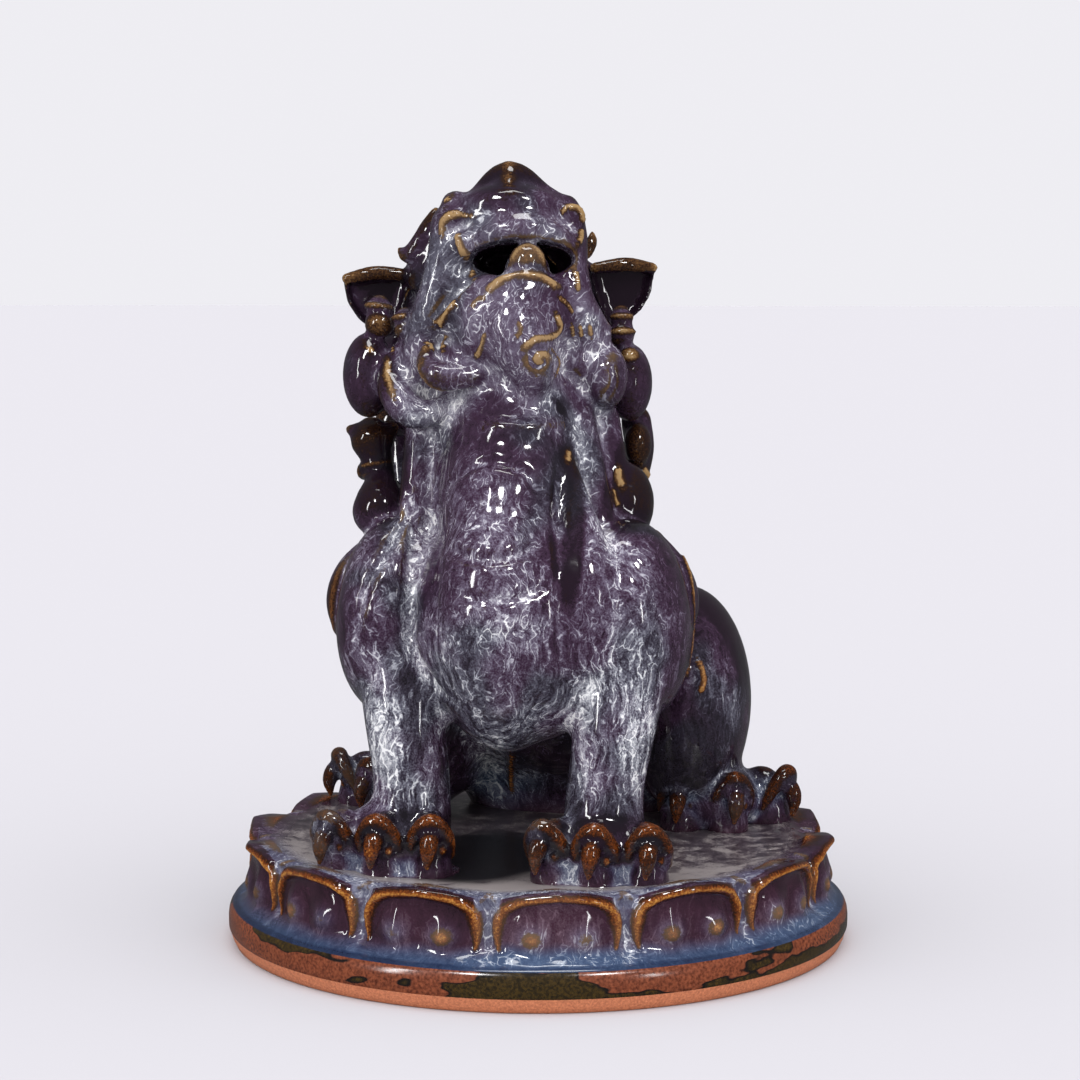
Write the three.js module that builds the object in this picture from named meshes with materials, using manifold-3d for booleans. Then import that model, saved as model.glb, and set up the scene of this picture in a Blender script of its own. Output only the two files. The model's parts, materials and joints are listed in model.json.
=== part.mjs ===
// Glazed guardian lion seated on a round lotus base, one fired piece.
// Units are millimetres, +Z is up and the lion looks along -Y; the origin is under the middle of the base.
import * as THREE from "three";
import { mergeVertices } from "three/addons/utils/BufferGeometryUtils.js";
import Module from "manifold-3d";

const wasm = await Module();
wasm.setup();

// Base
const BASE_RADIUS = 100;
const FOOT_RADIUS = 98;
const FOOT_WIDTH = 11;
const FOOT_RECESS = 4;
const CLAY_TOP = 4.6;
const BAND_TOP = 12.1;
const DISH_RADIUS = 68;
const DISH_HEIGHT = 31;
const PETALS = 14;
const PETAL_PHASE = 15.55;

// One half of a petal, from its middle out to the gap beside it, as parts of half the pitch.
const PETAL_COLUMNS = [0, 0.36, 0.66, 0.86, 1];
// Radius and height at each of those columns, row by row from the foot of the petal up over its tip.
const PETAL_ROWS = [
  [[96, 14], [96, 14], [96, 14], [96, 14], [95.5, 14]],
  [[93, 17], [93.6, 16.6], [92, 17.4], [93.4, 17.6], [90.5, 17]],
  [[93.2, 21], [95.4, 20.4], [92.2, 21.4], [94.8, 22], [89.8, 21]],
  [[92.8, 30], [92.8, 28.6], [92, 27], [94.8, 28], [89, 27.4]],
  [[95.6, 32.6], [94.8, 32], [94.4, 31], [92.6, 31], [88.6, 30.4]],
  [[94.2, 34.8], [92.8, 33.8], [91.8, 32.8], [90.4, 32.2], [87.6, 31.4]],
  [[85, 33], [85, 32.7], [85, 32.4], [84.5, 32.2], [84, 32]],
];

// Lion
const FRONT_LEG_X = 32;
const FRONT_PAW_Y = -61;
const TOE_PITCH = 14;
const HIND_TOES = [[43, 24, 6], [58, 25, 26], [69, 37, 72]];
const HIND_TOE_SIZE = 0.92;
const CHEST_LEAN = -1.5;
// The crest on the left shoulder lies closer in and further back than the one on the right.
const LEFT_CREST_IN = 8;
const LEFT_CREST_BACK = 10;
const HEAD_CENTRE = [-10.3, -4.2, 205];
const HEAD_YAW = 20;
const HEAD_ROLL = -2;
const EAR_DEPTH = 6;
const EAR_HOLLOW = 4;

// How far thinning the joined mesh may move its surface.
const SURFACE_DRIFT = 0.42;

const radians = THREE.MathUtils.degToRad;
const ACROSS = [1, 0, 0];
const FORWARD = [0, 1, 0];
const UPWARD = [0, 0, 1];

// A closed geometry as a solid; its seams are welded and its collapsed triangles dropped.
function solid(geometry) {
  const bare = new THREE.BufferGeometry();
  bare.setAttribute("position", geometry.getAttribute("position"));
  bare.setIndex(geometry.index);
  const welded = mergeVertices(bare, 1e-4);
  const corners = welded.index.array;
  const kept = [];
  for (let i = 0; i < corners.length; i += 3) {
    const [a, b, c] = [corners[i], corners[i + 1], corners[i + 2]];
    if (a !== b && b !== c && c !== a) kept.push(a, b, c);
  }
  const vertProperties = welded.attributes.position.array;
  const triVerts = new Uint32Array(kept);
  return new wasm.Manifold(new wasm.Mesh({ numProp: 3, vertProperties, triVerts }));
}

const united = (parts) => parts.map(solid).reduce((a, b) => a.add(b));

// An ellipsoid: its centre, its radii, its facets round and down, and its turns about X, Y and Z in degrees.
function ball(centre, radii, facets = [6, 4], turns = [0, 0, 0]) {
  const geometry = new THREE.SphereGeometry(1, ...facets);
  geometry.rotateX(Math.PI / 2);
  geometry.scale(...radii);
  const turn = new THREE.Euler(...turns.map(radians), "ZYX");
  geometry.applyMatrix4(new THREE.Matrix4().makeRotationFromEuler(turn));
  return geometry.translate(...centre);
}

// A blunt-ended tube through its stops. A stop is x, y, z and one radius, or two where the tube is flattened:
// the first is measured along `side`, the second across it. Facets are counted round, then between stops.
function limb(stops, facets = [6, 1], side = ACROSS) {
  const path = new THREE.CatmullRomCurve3(stops.map(([x, y, z]) => new THREE.Vector3(x, y, z)));
  const sizes = new THREE.CatmullRomCurve3(stops.map(([, , , a, b = a]) => new THREE.Vector3(a, b, 0)));
  const geometry = new THREE.CapsuleGeometry(1, 1, 1, facets[0], facets[1] * (stops.length - 1));
  const position = geometry.getAttribute("position");
  for (let i = 0; i < position.count; i++) {
    const t = THREE.MathUtils.clamp(position.getY(i) + 0.5, 0, 1);
    const beyond = position.getY(i) + 0.5 - t;
    const size = sizes.getPoint(t);
    const along = path.getTangent(t);
    const first = new THREE.Vector3(...side);
    first.addScaledVector(along, -first.dot(along)).normalize();
    const second = new THREE.Vector3().crossVectors(first, along);
    const point = path.getPoint(t).addScaledVector(along, beyond * Math.min(size.x, size.y));
    point.addScaledVector(first, position.getX(i) * size.x);
    point.addScaledVector(second, position.getZ(i) * size.y);
    position.setXYZ(i, point.x, point.y, point.z);
  }
  return geometry;
}

// Faces smaller than this, in square millimetres, have no direction worth keeping.
const SLIVER = 1e-5;
// The smallest face that a slide may leave, and the least its direction may agree with the one before.
const LEAST_FACE = 1e-3;
const LEAST_AGREEMENT = 0.5;

// Thins a joined mesh: a vertex slides onto a neighbour where no face around it shifts by more than `drift`.
function thinned({ vertProperties, triVerts }, drift) {
  const triple = (list, i) => [...list.slice(3 * i, 3 * i + 3)];
  const triples = (list) => Array.from({ length: list.length / 3 }, (_, i) => triple(list, i));
  const points = triples(vertProperties).map((place) => new THREE.Vector3(...place));
  const faces = triples(triVerts);
  const around = points.map(() => new Set());
  faces.forEach((corners, face) => corners.forEach((v) => around[v].add(face)));
  const neighbours = (v) => new Set([...around[v]].flatMap((face) => faces[face]).filter((w) => w !== v));
  const triangle = (corners) => new THREE.Triangle(...corners.map((v) => points[v]));

  // How far the surface shifts when v slides onto w, or infinity where it would tear or fold.
  const shift = (v, w, near) => {
    if ([...neighbours(w)].filter((x) => near.has(x)).length !== 2) return Infinity;
    let worst = 0;
    for (const face of around[v]) {
      const before = triangle(faces[face]);
      if (before.getArea() < SLIVER) continue;
      const normal = before.getNormal(new THREE.Vector3());
      worst = Math.max(worst, Math.abs(before.getPlane(new THREE.Plane()).distanceToPoint(points[w])));
      if (faces[face].includes(w)) continue;
      const after = triangle(faces[face].map((x) => (x === v ? w : x)));
      const agreement = after.getNormal(new THREE.Vector3()).dot(normal);
      if (after.getArea() < LEAST_FACE || agreement < LEAST_AGREEMENT) return Infinity;
    }
    return worst;
  };

  for (const limit of [drift / 8, drift / 4, drift / 2, drift, drift]) {
    for (let v = 0; v < points.length; v++) {
      if (!around[v].size) continue;
      const near = neighbours(v);
      const options = [...near].map((w) => [shift(v, w, near), w]).sort((a, b) => a[0] - b[0]);
      const [least, target] = options[0];
      if (least > limit) continue;
      for (const face of around[v]) {
        if (faces[face].includes(target)) {
          faces[face].forEach((x) => x !== v && around[x].delete(face));
          faces[face] = null;
        } else {
          faces[face] = faces[face].map((x) => (x === v ? target : x));
          around[target].add(face);
        }
      }
      around[v].clear();
    }
  }
  const left = new THREE.BufferGeometry().setFromPoints(points);
  return left.setIndex(faces.filter((corners) => corners).flat()).toNonIndexed();
}

// The largest shell of a joined mesh, so that pockets sealed between overlapping forms are filled.
function outerShell({ vertProperties, triVerts }) {
  const leader = Array.from({ length: vertProperties.length / 3 }, (_, v) => v);
  const find = (start) => {
    let v = start;
    while (leader[v] !== v) {
      leader[v] = leader[leader[v]];
      v = leader[v];
    }
    return v;
  };
  for (let i = 0; i < triVerts.length; i += 3) {
    leader[find(triVerts[i + 1])] = find(triVerts[i]);
    leader[find(triVerts[i + 2])] = find(triVerts[i]);
  }
  const shells = new Map();
  for (let i = 0; i < triVerts.length; i += 3) {
    const shell = find(triVerts[i]);
    shells.set(shell, [...(shells.get(shell) ?? []), ...triVerts.slice(i, i + 3)]);
  }
  const [largest] = [...shells.values()].sort((a, b) => b.length - a.length);
  return { vertProperties, triVerts: largest };
}

// The same forms on the right of the lion and on its left: the maker is given -1, then 1.
const pair = (make) => [-1, 1].flatMap(make);

// The lotus base: a lathe from the foot ring up the band, then up the petals, then in over the dished top.
function lotusBase() {
  const inner = FOOT_RADIUS - FOOT_WIDTH;
  const below = [[0, FOOT_RECESS], [inner - 1, FOOT_RECESS], [inner, 0], [FOOT_RADIUS, 0]];
  below.push([BASE_RADIUS, CLAY_TOP], [BASE_RADIUS - 1.5, BAND_TOP]);
  const rows = [
    ...below.map((point) => PETAL_COLUMNS.map(() => point)),
    ...PETAL_ROWS,
    PETAL_COLUMNS.map(() => [DISH_RADIUS, DISH_HEIGHT]),
    PETAL_COLUMNS.map(() => [0, DISH_HEIGHT]),
  ];
  const last = PETAL_COLUMNS.length - 1;
  const perPetal = 2 * last;
  const geometry = new THREE.LatheGeometry(rows.map(() => new THREE.Vector2(1, 0)), PETALS * perPetal);
  const position = geometry.getAttribute("position");
  for (let i = 0; i < position.count; i++) {
    const step = Math.floor(i / rows.length) % (PETALS * perPetal);
    const offset = (step % perPetal) - last;
    const column = Math.abs(offset);
    const [radius, height] = rows[i % rows.length][column];
    const petal = Math.floor(step / perPetal) + Math.sign(offset) * PETAL_COLUMNS[column] / 2;
    const angle = radians(PETAL_PHASE + petal * 360 / PETALS);
    position.setXYZ(i, radius * Math.sin(angle), -radius * Math.cos(angle), height);
  }
  return geometry;
}

// One toe: its pad, the rolled cap over the knuckle and the hooked claw. Heading 0 looks along -Y.
function toe(x, y, heading, size = 1) {
  const parts = [
    ball([0, 1, 39.5], [6.6, 9, 9.6], [6, 5]),
    limb([[-5.4, -4.2, 40, 2], [0, -5.8, 47.4, 2.8], [5.4, -4.2, 40, 2]], [4, 2], FORWARD),
    limb([[0, -5, 45, 3], [-0.4, -9.8, 41, 2.6], [-1, -9.8, 34, 0.8]], [4, 1]),
  ];
  return parts.map((part) => part.translate(0, 0, -DISH_HEIGHT).scale(size, size, size)
    .translate(0, 0, DISH_HEIGHT).rotateZ(radians(heading)).translate(x, y, 0));
}

// The trunk from the rump up to the neck, the chest with its raised middle panel, and the spine.
function trunk() {
  return [
    limb([[0, 54, 36, 38, 18], [0, 46, 64, 40, 30], [0, 18, 100, 40, 40], [0, -6, 132, 32, 36],
      [-1, -13, 160, 25, 27], [-5, -8, 195, 22, 25]], [16, 1]),
    ball([0, -31, 109], [40, 37, 41], [18, 11]),
    ball([-1, -35, 108], [27, 36, 41], [12, 9]),
    limb([[-2, -20, 176, 20, 16], [-2, -27, 152, 23, 22], [-2, -33, 132, 23, 26], [-2, -30, 110, 20, 22]],
      [12, 1]),
    ...[[50, 122], [58, 106], [64, 90]].map(([y, z]) => ball([0, y - 2, z], [5, 6, 8], [7, 5])),
  ];
}

// A shoulder, its crest, the front leg and paw below it, and the tuft behind the elbow.
function foreQuarter(side) {
  const x = side * FRONT_LEG_X;
  const crestBack = side > 0 ? LEFT_CREST_BACK : 0;
  const crestIn = side > 0 ? LEFT_CREST_IN : 0;
  return [
    ball([side * 34 + CHEST_LEAN, -29, 106], [19.5, 26, 34], [14, 9], [0, -side * 7, 0]),
    limb([[side * 36, -37, 92, 17], [side * 34.5, -44, 72, 15.5], [x, -46, 54, 14], [x, -48, 42, 15]],
      [12, 1]),
    ball([x, -53, 38], [19, 15, 11], [10, 6]),
    limb([[side * 47, -18, 131, 2], [side * 56, -24, 119, 4, 6], [side * 58.5, -27, 108, 4, 6],
      [side * 55, -31, 97, 2]], [7, 1]).translate(-side * crestIn, crestBack, 0),
    limb([[side * 48, -8, 85, 4], [side * 53, 3, 86, 3.5], [side * 56, 11, 83, 1.2]], [5, 1], UPWARD),
    ...[-1, 0, 1].flatMap((k) => toe(x + k * TOE_PITCH, FRONT_PAW_Y + 2.5 * k * k, k * TOE_PITCH)),
  ];
}

// A haunch, the foot under it and its toes fanned outward.
function hindQuarter(side) {
  return [
    ball([side * 41.5, 37, 72], [22, 34, 37.5], [16, 10], [-8, 0, side * 10]),
    ball([side * 52, 34, 40], [16, 19, 12], [10, 6], [0, 0, side * 20]),
    ...HIND_TOES.flatMap(([x, y, heading]) => toe(side * x, y, side * heading, HIND_TOE_SIZE)),
  ];
}

// The flame tail that lies up the back, with a curl at each side of its root.
function tail() {
  return [
    limb([[0, 66, 42, 13, 11], [0, 73, 62, 15, 11], [0, 68, 88, 12, 10], [0, 55, 113, 3, 4]], [9, 2]),
    ...pair((side) => [
      limb([[side * 9, 67, 46, 8], [side * 21, 67, 62, 8], [side * 23, 58, 82, 6], [side * 15, 54, 96, 2]],
        [7, 1], FORWARD),
      ball([side * 14, 71, 42], [9, 8, 9], [8, 5]),
    ]),
  ];
}

// The strands that run from the neck down on the shoulders, and the long lock over the throat.
function frontMane() {
  return [
    limb([[-27, -28, 172, 6], [-30, -31, 148, 6, 4], [-36, -43, 126, 3]], [7, 1]),
    limb([[22, -22, 172, 6], [25, -29, 148, 6, 4], [33, -42, 126, 3]], [7, 1]),
    limb([[13, -38, 166, 2], [17, -50, 147, 4, 3], [20, -64, 124, 1.5]], [6, 1]),
  ];
}

// The face in the head's own frame: x to the lion's left, -y where it looks, z up, the origin at HEAD_CENTRE.
function face() {
  const skull = ball([0, 6, 3], [26, 26, 26], [14, 9]);
  const muzzle = ball([1, -17, 26], [21.5, 14, 10], [14, 7]);
  const snout = limb([[0, 4, 14, 22, 16], [1, -12, 24, 20, 12]], [12, 1]);
  const nose = limb([[-17, -11, 28.5, 4], [-9, -14, 31.8, 5], [0.4, -17, 35.3, 6], [10, -15, 31.8, 5],
    [20, -12, 28, 4]], [8, 1], UPWARD);
  const bridge = limb([[0, -14, 31, 7, 5], [0, 16, 24, 9, 6]], [6, 1]);
  const jaw = limb([[1, -22, 2, 22, 12], [1, -32, -6, 20, 12], [1, -37, -16, 17, 11], [3, -41, -26, 10, 8],
    [4, -42, -32, 4, 4]], [12, 1]);
  const lip = limb([[-15, -37, -3, 1.6], [-8, -42, 3, 1.9], [1.4, -43.5, 5, 1.9], [10, -42, 3, 1.9],
    [17, -37, -3, 1.6]], [5, 1], UPWARD);
  const beardCurl = limb([[9, -46, -6, 1.6], [8, -50, -12, 2.2], [0.6, -51, -17, 2.2], [4, -51, -23, 2.2],
    [9, -50.5, -18, 2]], [5, 2], FORWARD);
  const curlHeart = ball([5, -48, -18], [3, 5, 3]);
  return [skull, muzzle, snout, nose, bridge, jaw, lip, beardCurl, curlHeart, ...pair(faceSide)];
}

// One side of the face: jowl, fangs, nostril wing, eye, brow and ear.
function faceSide(side) {
  return [
    ball([side * 15, -27, -9], [10, 10, 12], [9, 6]),
    limb([[side * 17.5, -25, 22, 3], [side * 18.5, -29, 18, 2.4], [side * 18.5, -28, 12.5, 1]], [5, 1]),
    limb([[side * 19, -27, 0, 2.2], [side * 19, -31, 9, 1]], [5, 1]),
    ball([side * 18, -14, 24], [5, 5, 5]),
    ball([side * 13, 8, 20], [6.5, 6.5, 6.5], [8, 6]),
    limb([[side * 5, 14, 25, 2.5], [side * 13, 13, 24.5, 3.5], [side * 21, 8, 18, 3],
      [side * 30, 10, 10.5, 2.8]], [6, 1], FORWARD),
    earPlate(side, 1, EAR_DEPTH).translate(side * 37, 6, 2),
    limb([[side * 29, 6, 10.5, 2.6], [side * 40, 6.5, 12, 2.4], [side * 49, 8, 10, 1.3]], [5, 1], FORWARD),
  ];
}

// A leaf-shaped ear seen from the front, flat along its top and pointed outward.
function earPlate(side, scale, depth) {
  const outline = new THREE.Shape();
  outline.moveTo(-9 * side * scale, 10 * scale);
  outline.quadraticCurveTo(-8 * side * scale, -2 * scale, -2 * side * scale, -11 * scale);
  outline.quadraticCurveTo(10 * side * scale, -5 * scale, 12.5 * side * scale, 8.5 * scale);
  outline.closePath();
  const plate = new THREE.ExtrudeGeometry(outline, { depth, bevelEnabled: false, curveSegments: 4 });
  return mergeVertices(plate.deleteAttribute("normal").deleteAttribute("uv")).rotateX(Math.PI / 2)
    .translate(0, depth, 0);
}

// What is cut out of the head: the open mouth and the two ear cups.
function hollows() {
  return [
    ball([2, -36, 12.4], [20, 17, 6], [14, 7]),
    ...pair((side) => earPlate(side, 0.74, EAR_HOLLOW + 2).translate(side * 37.5, 4, 1.5)),
  ];
}

// The tongue, curled up and out of the mouth.
function tongue() {
  return [limb([[2, -12, 4, 6, 4], [3, -26, 10, 5.5, 3.5], [3.6, -34, 14, 4.5, 2.5]], [7, 1])];
}

// The locks of the ruff, one tier under the ears and one at the neck, on a broad core behind the jaw.
function ruff() {
  return [
    limb([[0, 8, 0, 28, 20], [0, 10, -22, 34, 20], [0, 12, -46, 24, 18]], [14, 1]),
    limb([[-27, -27, -15, 3], [-27.5, -30, -22, 5.5], [-20, -31.5, -29, 5], [-8, -36, -28, 3]],
      [7, 1], FORWARD),
    limb([[-29, -12, -6, 5], [-35, -12, -20, 7], [-32, -17, -31, 7.5], [-20, -24, -35, 5]], [8, 1], FORWARD),
    limb([[24, -25, -10, 4], [29, -22, -22, 7], [23, -26, -32, 6.5], [12, -34, -31, 3]], [8, 1], FORWARD),
    ball([-41, 4, -24], [9.5, 9, 13], [10, 8]),
    ball([37, -1.5, -27], [9.5, 9, 13.5], [10, 8]),
    ball([-39.7, 1.5, -7.7], [5, 5, 5], [8, 5]),
    ball([36, -1.2, -10.7], [5, 5, 5], [8, 5]),
    ball([-30, -7.8, -8.6], [4, 4, 3.5]),
    ball([27.4, -20, -11.6], [4, 4, 3.5]),
    limb([[-47, 20.7, -40, 2], [-40, 19.5, -43, 6], [-36, 19, -56, 3.8], [-37.3, 17.4, -68, 8.5],
      [-34, 14, -80, 4]], [8, 2], FORWARD),
    limb([[-40, 19.5, -43, 5], [-26, 26, -38, 6]], [6, 1], FORWARD),
    limb([[-36, 17, -69, 6], [-14, 12, -72, 7]], [6, 1], FORWARD),
    ball([-32, 10, -36], [4, 4, 3.5]),
    ball([40, 9.4, -46], [6.5, 7, 8], [8, 6]),
    limb([[35, 4, -54, 6], [39, 0.4, -67, 9], [36, -3, -82, 4]], [9, 2], FORWARD),
  ];
}

// The back of the mane: staggered rows of round curls.
function backMane() {
  const rows = [
    [20, [[0, 23]]],
    [12, [[-18, 19], [18, 19]]],
    [0, [[-26, 20], [-9, 30], [9, 30], [26, 20]]],
    [-19, [[-29, 21], [-11, 33], [11, 33], [29, 21]]],
    [-38, [[-20, 31], [0, 37], [20, 31]]],
  ];
  return rows.flatMap(([z, places]) => places.map(([x, y]) => ball([x, y, z], [10.5, 9.5, 11], [7, 5])));
}

const headFrame = new THREE.Matrix4().makeTranslation(...HEAD_CENTRE)
  .multiply(new THREE.Matrix4().makeRotationZ(radians(HEAD_YAW)))
  .multiply(new THREE.Matrix4().makeRotationY(radians(HEAD_ROLL)));
const onHead = (parts) => parts.map((part) => part.applyMatrix4(headFrame));

const head = united(onHead(face())).subtract(united(onHead(hollows())));
const body = united([
  lotusBase(), ...trunk(), ...pair(foreQuarter), ...pair(hindQuarter), ...tail(), ...frontMane(),
  ...onHead([...tongue(), ...ruff(), ...backMane()]),
]);
const geometry = thinned(outerShell(body.add(head).getMesh()), SURFACE_DRIFT);
geometry.computeVertexNormals();

const plumGlaze = new THREE.MeshStandardMaterial({ color: 0x43303f, roughness: 0.15, metalness: 0 });
const lion = new THREE.Mesh(geometry, plumGlaze);
lion.name = "guardian_lion_on_lotus_base";

const group = new THREE.Group();
group.add(lion);
export default group;
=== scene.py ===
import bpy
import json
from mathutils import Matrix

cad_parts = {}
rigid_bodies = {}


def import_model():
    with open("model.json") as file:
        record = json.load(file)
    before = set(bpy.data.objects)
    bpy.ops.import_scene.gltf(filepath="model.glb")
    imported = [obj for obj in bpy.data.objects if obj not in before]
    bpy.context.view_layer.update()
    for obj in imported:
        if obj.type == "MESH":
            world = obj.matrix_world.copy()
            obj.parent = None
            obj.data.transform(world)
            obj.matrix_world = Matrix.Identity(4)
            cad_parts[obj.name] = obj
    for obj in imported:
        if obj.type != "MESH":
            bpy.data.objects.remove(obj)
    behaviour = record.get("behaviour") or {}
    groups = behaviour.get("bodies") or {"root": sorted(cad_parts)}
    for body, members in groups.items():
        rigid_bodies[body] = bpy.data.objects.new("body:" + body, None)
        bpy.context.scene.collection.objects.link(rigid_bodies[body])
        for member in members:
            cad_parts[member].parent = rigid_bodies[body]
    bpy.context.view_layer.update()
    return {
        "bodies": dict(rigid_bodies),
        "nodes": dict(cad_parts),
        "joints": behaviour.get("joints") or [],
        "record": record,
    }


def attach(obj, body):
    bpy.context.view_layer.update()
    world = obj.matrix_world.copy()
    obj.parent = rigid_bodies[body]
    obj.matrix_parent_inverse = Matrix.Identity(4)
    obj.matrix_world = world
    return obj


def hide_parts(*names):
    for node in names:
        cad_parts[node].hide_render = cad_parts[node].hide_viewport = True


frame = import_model()

# %% [markdown]
# # A glazed guardian lion on a lotus base
# The real figure is one piece of stoneware: a seated lion with a curled mane, pressed in a mould and
# joined while wet to a round base of lotus petals. It was dipped in a plum glaze that runs in the fire,
# so it is thick and milky in the hollows, and thin and amber on the edges.
#
# The shape is built the way a modeller builds it in clay. Big forms are laid over each other, fused
# into one skin and smoothed with a sponge. Smaller forms follow, fused with less smoothing each time,
# and the last marks are pressed into the skin. A sculpting brush could do that by hand, but a script
# can't hold a brush, so small functions press and raise the surface along a line.

# %% Tools for the whole lesson
import json
import math

import bmesh
import bpy
import numpy as np
from mathutils import Euler, Matrix, Vector
from mathutils.bvhtree import BVHTree

MM = 0.001
LION_NODE = "guardian_lion_on_lotus_base"

# %% [markdown]
# ## Where the camera stands
# The photograph looks slightly down on the lion and from a little to its left. The round base fixes
# the view: the shape of its ellipse gives the camera's height, and its size gives the distance. The
# lens is long, so the figure is hardly distorted. Marks on the skin are placed later by sighting
# through this camera, so its numbers come first.

# %% Camera
PHOTO_SIDE = 1080
SENSOR = 36
CAMERA_AZIMUTH = math.radians(12)
CAMERA_REACH = 0.81909
CAMERA_HEIGHT = 0.20767
CAMERA_AIM = Vector((0.0006, 0, 0.1275))
CAMERA_LENS = 85.53


def add_camera():
    camera = bpy.data.objects.new("camera", bpy.data.cameras.new("camera"))
    across, back = math.sin(CAMERA_AZIMUTH), -math.cos(CAMERA_AZIMUTH)
    camera.location = (across * CAMERA_REACH, back * CAMERA_REACH, CAMERA_HEIGHT)
    camera.rotation_euler = (CAMERA_AIM - camera.location).to_track_quat("-Z", "Y").to_euler()
    camera.data.lens = CAMERA_LENS
    camera.data.sensor_width = SENSOR
    bpy.context.scene.collection.objects.link(camera)
    bpy.context.scene.camera = camera
    return camera


camera = add_camera()
print("camera at", [round(v, 3) for v in camera.location])

# %% [markdown]
# ## A sheet of glass before the lion
# A modeller who works from a photograph measures on it with dividers. Here the photograph is held as a
# sheet of glass in front of the camera, at the distance where three of its pixels are one millimetre.
# A mark on the glass is x millimetres right of the middle and z above it. `spot` turns a mark and a
# nearness, in mm from the middle of the lion towards the camera, into a place in the view's own frame:
# x to the right, y away from the camera, z up.

# %% The glass
PIXELS_PER_MM = 3
GLASS_REACH = CAMERA_LENS / SENSOR * PHOTO_SIDE / PIXELS_PER_MM
AIM_REACH = (CAMERA_AIM - camera.location).length / MM
VIEW_FRAME = Matrix.Translation(CAMERA_AIM / MM) @ (
    camera.rotation_euler.to_matrix() @ Matrix(((1, 0, 0), (0, 0, 1), (0, -1, 0)))).to_4x4()


def spot(x, z, near):
    """A mark on the glass, carried along the line of sight to its nearness."""
    shrink = (AIM_REACH - near) / GLASS_REACH
    return Vector((x * shrink, -near, z * shrink))


def spots(stops):
    """The same for stops of a roll: x, z, nearness, then one radius or two."""
    return [(*spot(*stop[:3]), *stop[3:]) for stop in stops]


print("glass at", round(GLASS_REACH), "mm, lion at", round(AIM_REACH), "mm")

# %% [markdown]
# ## Two forms that make almost everything
# A modeller works with balls and rolls of clay. `ball` is a sphere, stretched and turned. `roll` is a
# sphere too, but its rings of vertices are set along a smooth line, so it becomes a lock of hair, a leg
# or a claw with round ends. A curve with a bevel could make a roll as well, but not a flattened one.
# All sizes are in millimetres until a piece is finished.

# %% Balls and rolls of clay
ACROSS, FORWARD, UPWARD = Vector((1, 0, 0)), Vector((0, 1, 0)), Vector((0, 0, 1))
HERE = Matrix()
ROUND_FACETS, BALL_ROWS = 20, 14
CAP_RINGS = 4
RINGS_PER_SPAN = 5
THINNEST = 0.2


def ball(bm, centre, radii, turns=(0, 0, 0)):
    """An ellipsoid: its centre, its three radii and its turns about X, Y and Z in degrees."""
    if isinstance(radii, (int, float)):
        radii = (radii,) * 3
    turn = Euler([math.radians(t) for t in turns]).to_matrix().to_4x4()
    place = Matrix.Translation(centre) @ turn @ Matrix.Diagonal((*radii, 1))
    bmesh.ops.create_uvsphere(bm, u_segments=ROUND_FACETS, v_segments=BALL_ROWS, radius=1, matrix=place)


def smooth_way(stops, t):
    """Where a smooth line through the stops is at t, from 0 to 1, and the direction it runs in there."""
    stops = np.array(stops, float)
    stops = np.concatenate([2 * stops[:1] - stops[1:2], stops, 2 * stops[-1:] - stops[-2:-1]])
    spans = len(stops) - 3
    span = min(int(t * spans), spans - 1)
    f = t * spans - span
    a, b, c, d = stops[span:span + 4]
    bend, lift = 2 * a - 5 * b + 4 * c - d, 3 * b - a - 3 * c + d
    return (2 * b + (c - a) * f + bend * f**2 + lift * f**3) / 2, (c - a) + 2 * bend * f + 3 * lift * f**2


def roll(bm, stops, side=ACROSS):
    """A roll through its stops: x, y, z and one radius, or two: the first along `side`, then across it."""
    stops = [stop if len(stop) == 5 else (*stop, stop[3]) for stop in stops]
    rings = RINGS_PER_SPAN * (len(stops) - 1)
    rows = rings + 2 * CAP_RINGS
    made = bmesh.ops.create_uvsphere(bm, u_segments=ROUND_FACETS, v_segments=rows, radius=1)["verts"]
    for vert in made:
        row = rows * math.acos(max(-1, min(1, vert.co.z))) / math.pi
        t = min(max((row - CAP_RINGS) / rings, 0), 1)
        past = (row - CAP_RINGS - t * rings) / CAP_RINGS * math.pi / 2
        around = math.atan2(vert.co.y, vert.co.x)
        here, ahead = smooth_way(stops, t)
        ahead = Vector(ahead[:3]).normalized()
        first = (side - side.dot(ahead) * ahead).normalized()
        width, depth = (max(size, THINNEST) for size in here[3:])
        vert.co = Vector(here[:3]) + ahead * math.sin(past) * min(width, depth)
        vert.co += first * math.cos(around) * width * math.cos(past)
        vert.co += first.cross(ahead) * math.sin(around) * depth * math.cos(past)


def lay(clay, frame, make, *how):
    """Makes one group of forms in a frame of its own, where -y is ahead, and lays it on the clay."""
    group = bmesh.new()
    make(group, *how)
    bmesh.ops.transform(group, matrix=frame, verts=group.verts)
    mesh = bpy.data.meshes.new("group")
    group.to_mesh(mesh)
    group.free()
    clay.from_mesh(mesh)
    bpy.data.meshes.remove(mesh)


print("a ball has", ROUND_FACETS * BALL_ROWS, "faces, a span of a roll", ROUND_FACETS * RINGS_PER_SPAN)

# %% [markdown]
# ## The big masses
# The trunk, chest, legs and haunches come first, as on an armature. The chest is broad and carries a
# raised panel down its middle. A deep valley parts each shoulder from the chest, and the leg narrows
# under it, so the forms are set to overlap only as far as that. One big ball could be pushed
# into shape instead, but then the valleys would have to be cut.

# %% Trunk, legs and haunches
DISH_HEIGHT = 31
SIDES = (-1, 1)
LEG_X = {-1: -30, 1: 30.5}
PAW_X = {-1: -35, 1: 31.5}


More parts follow.
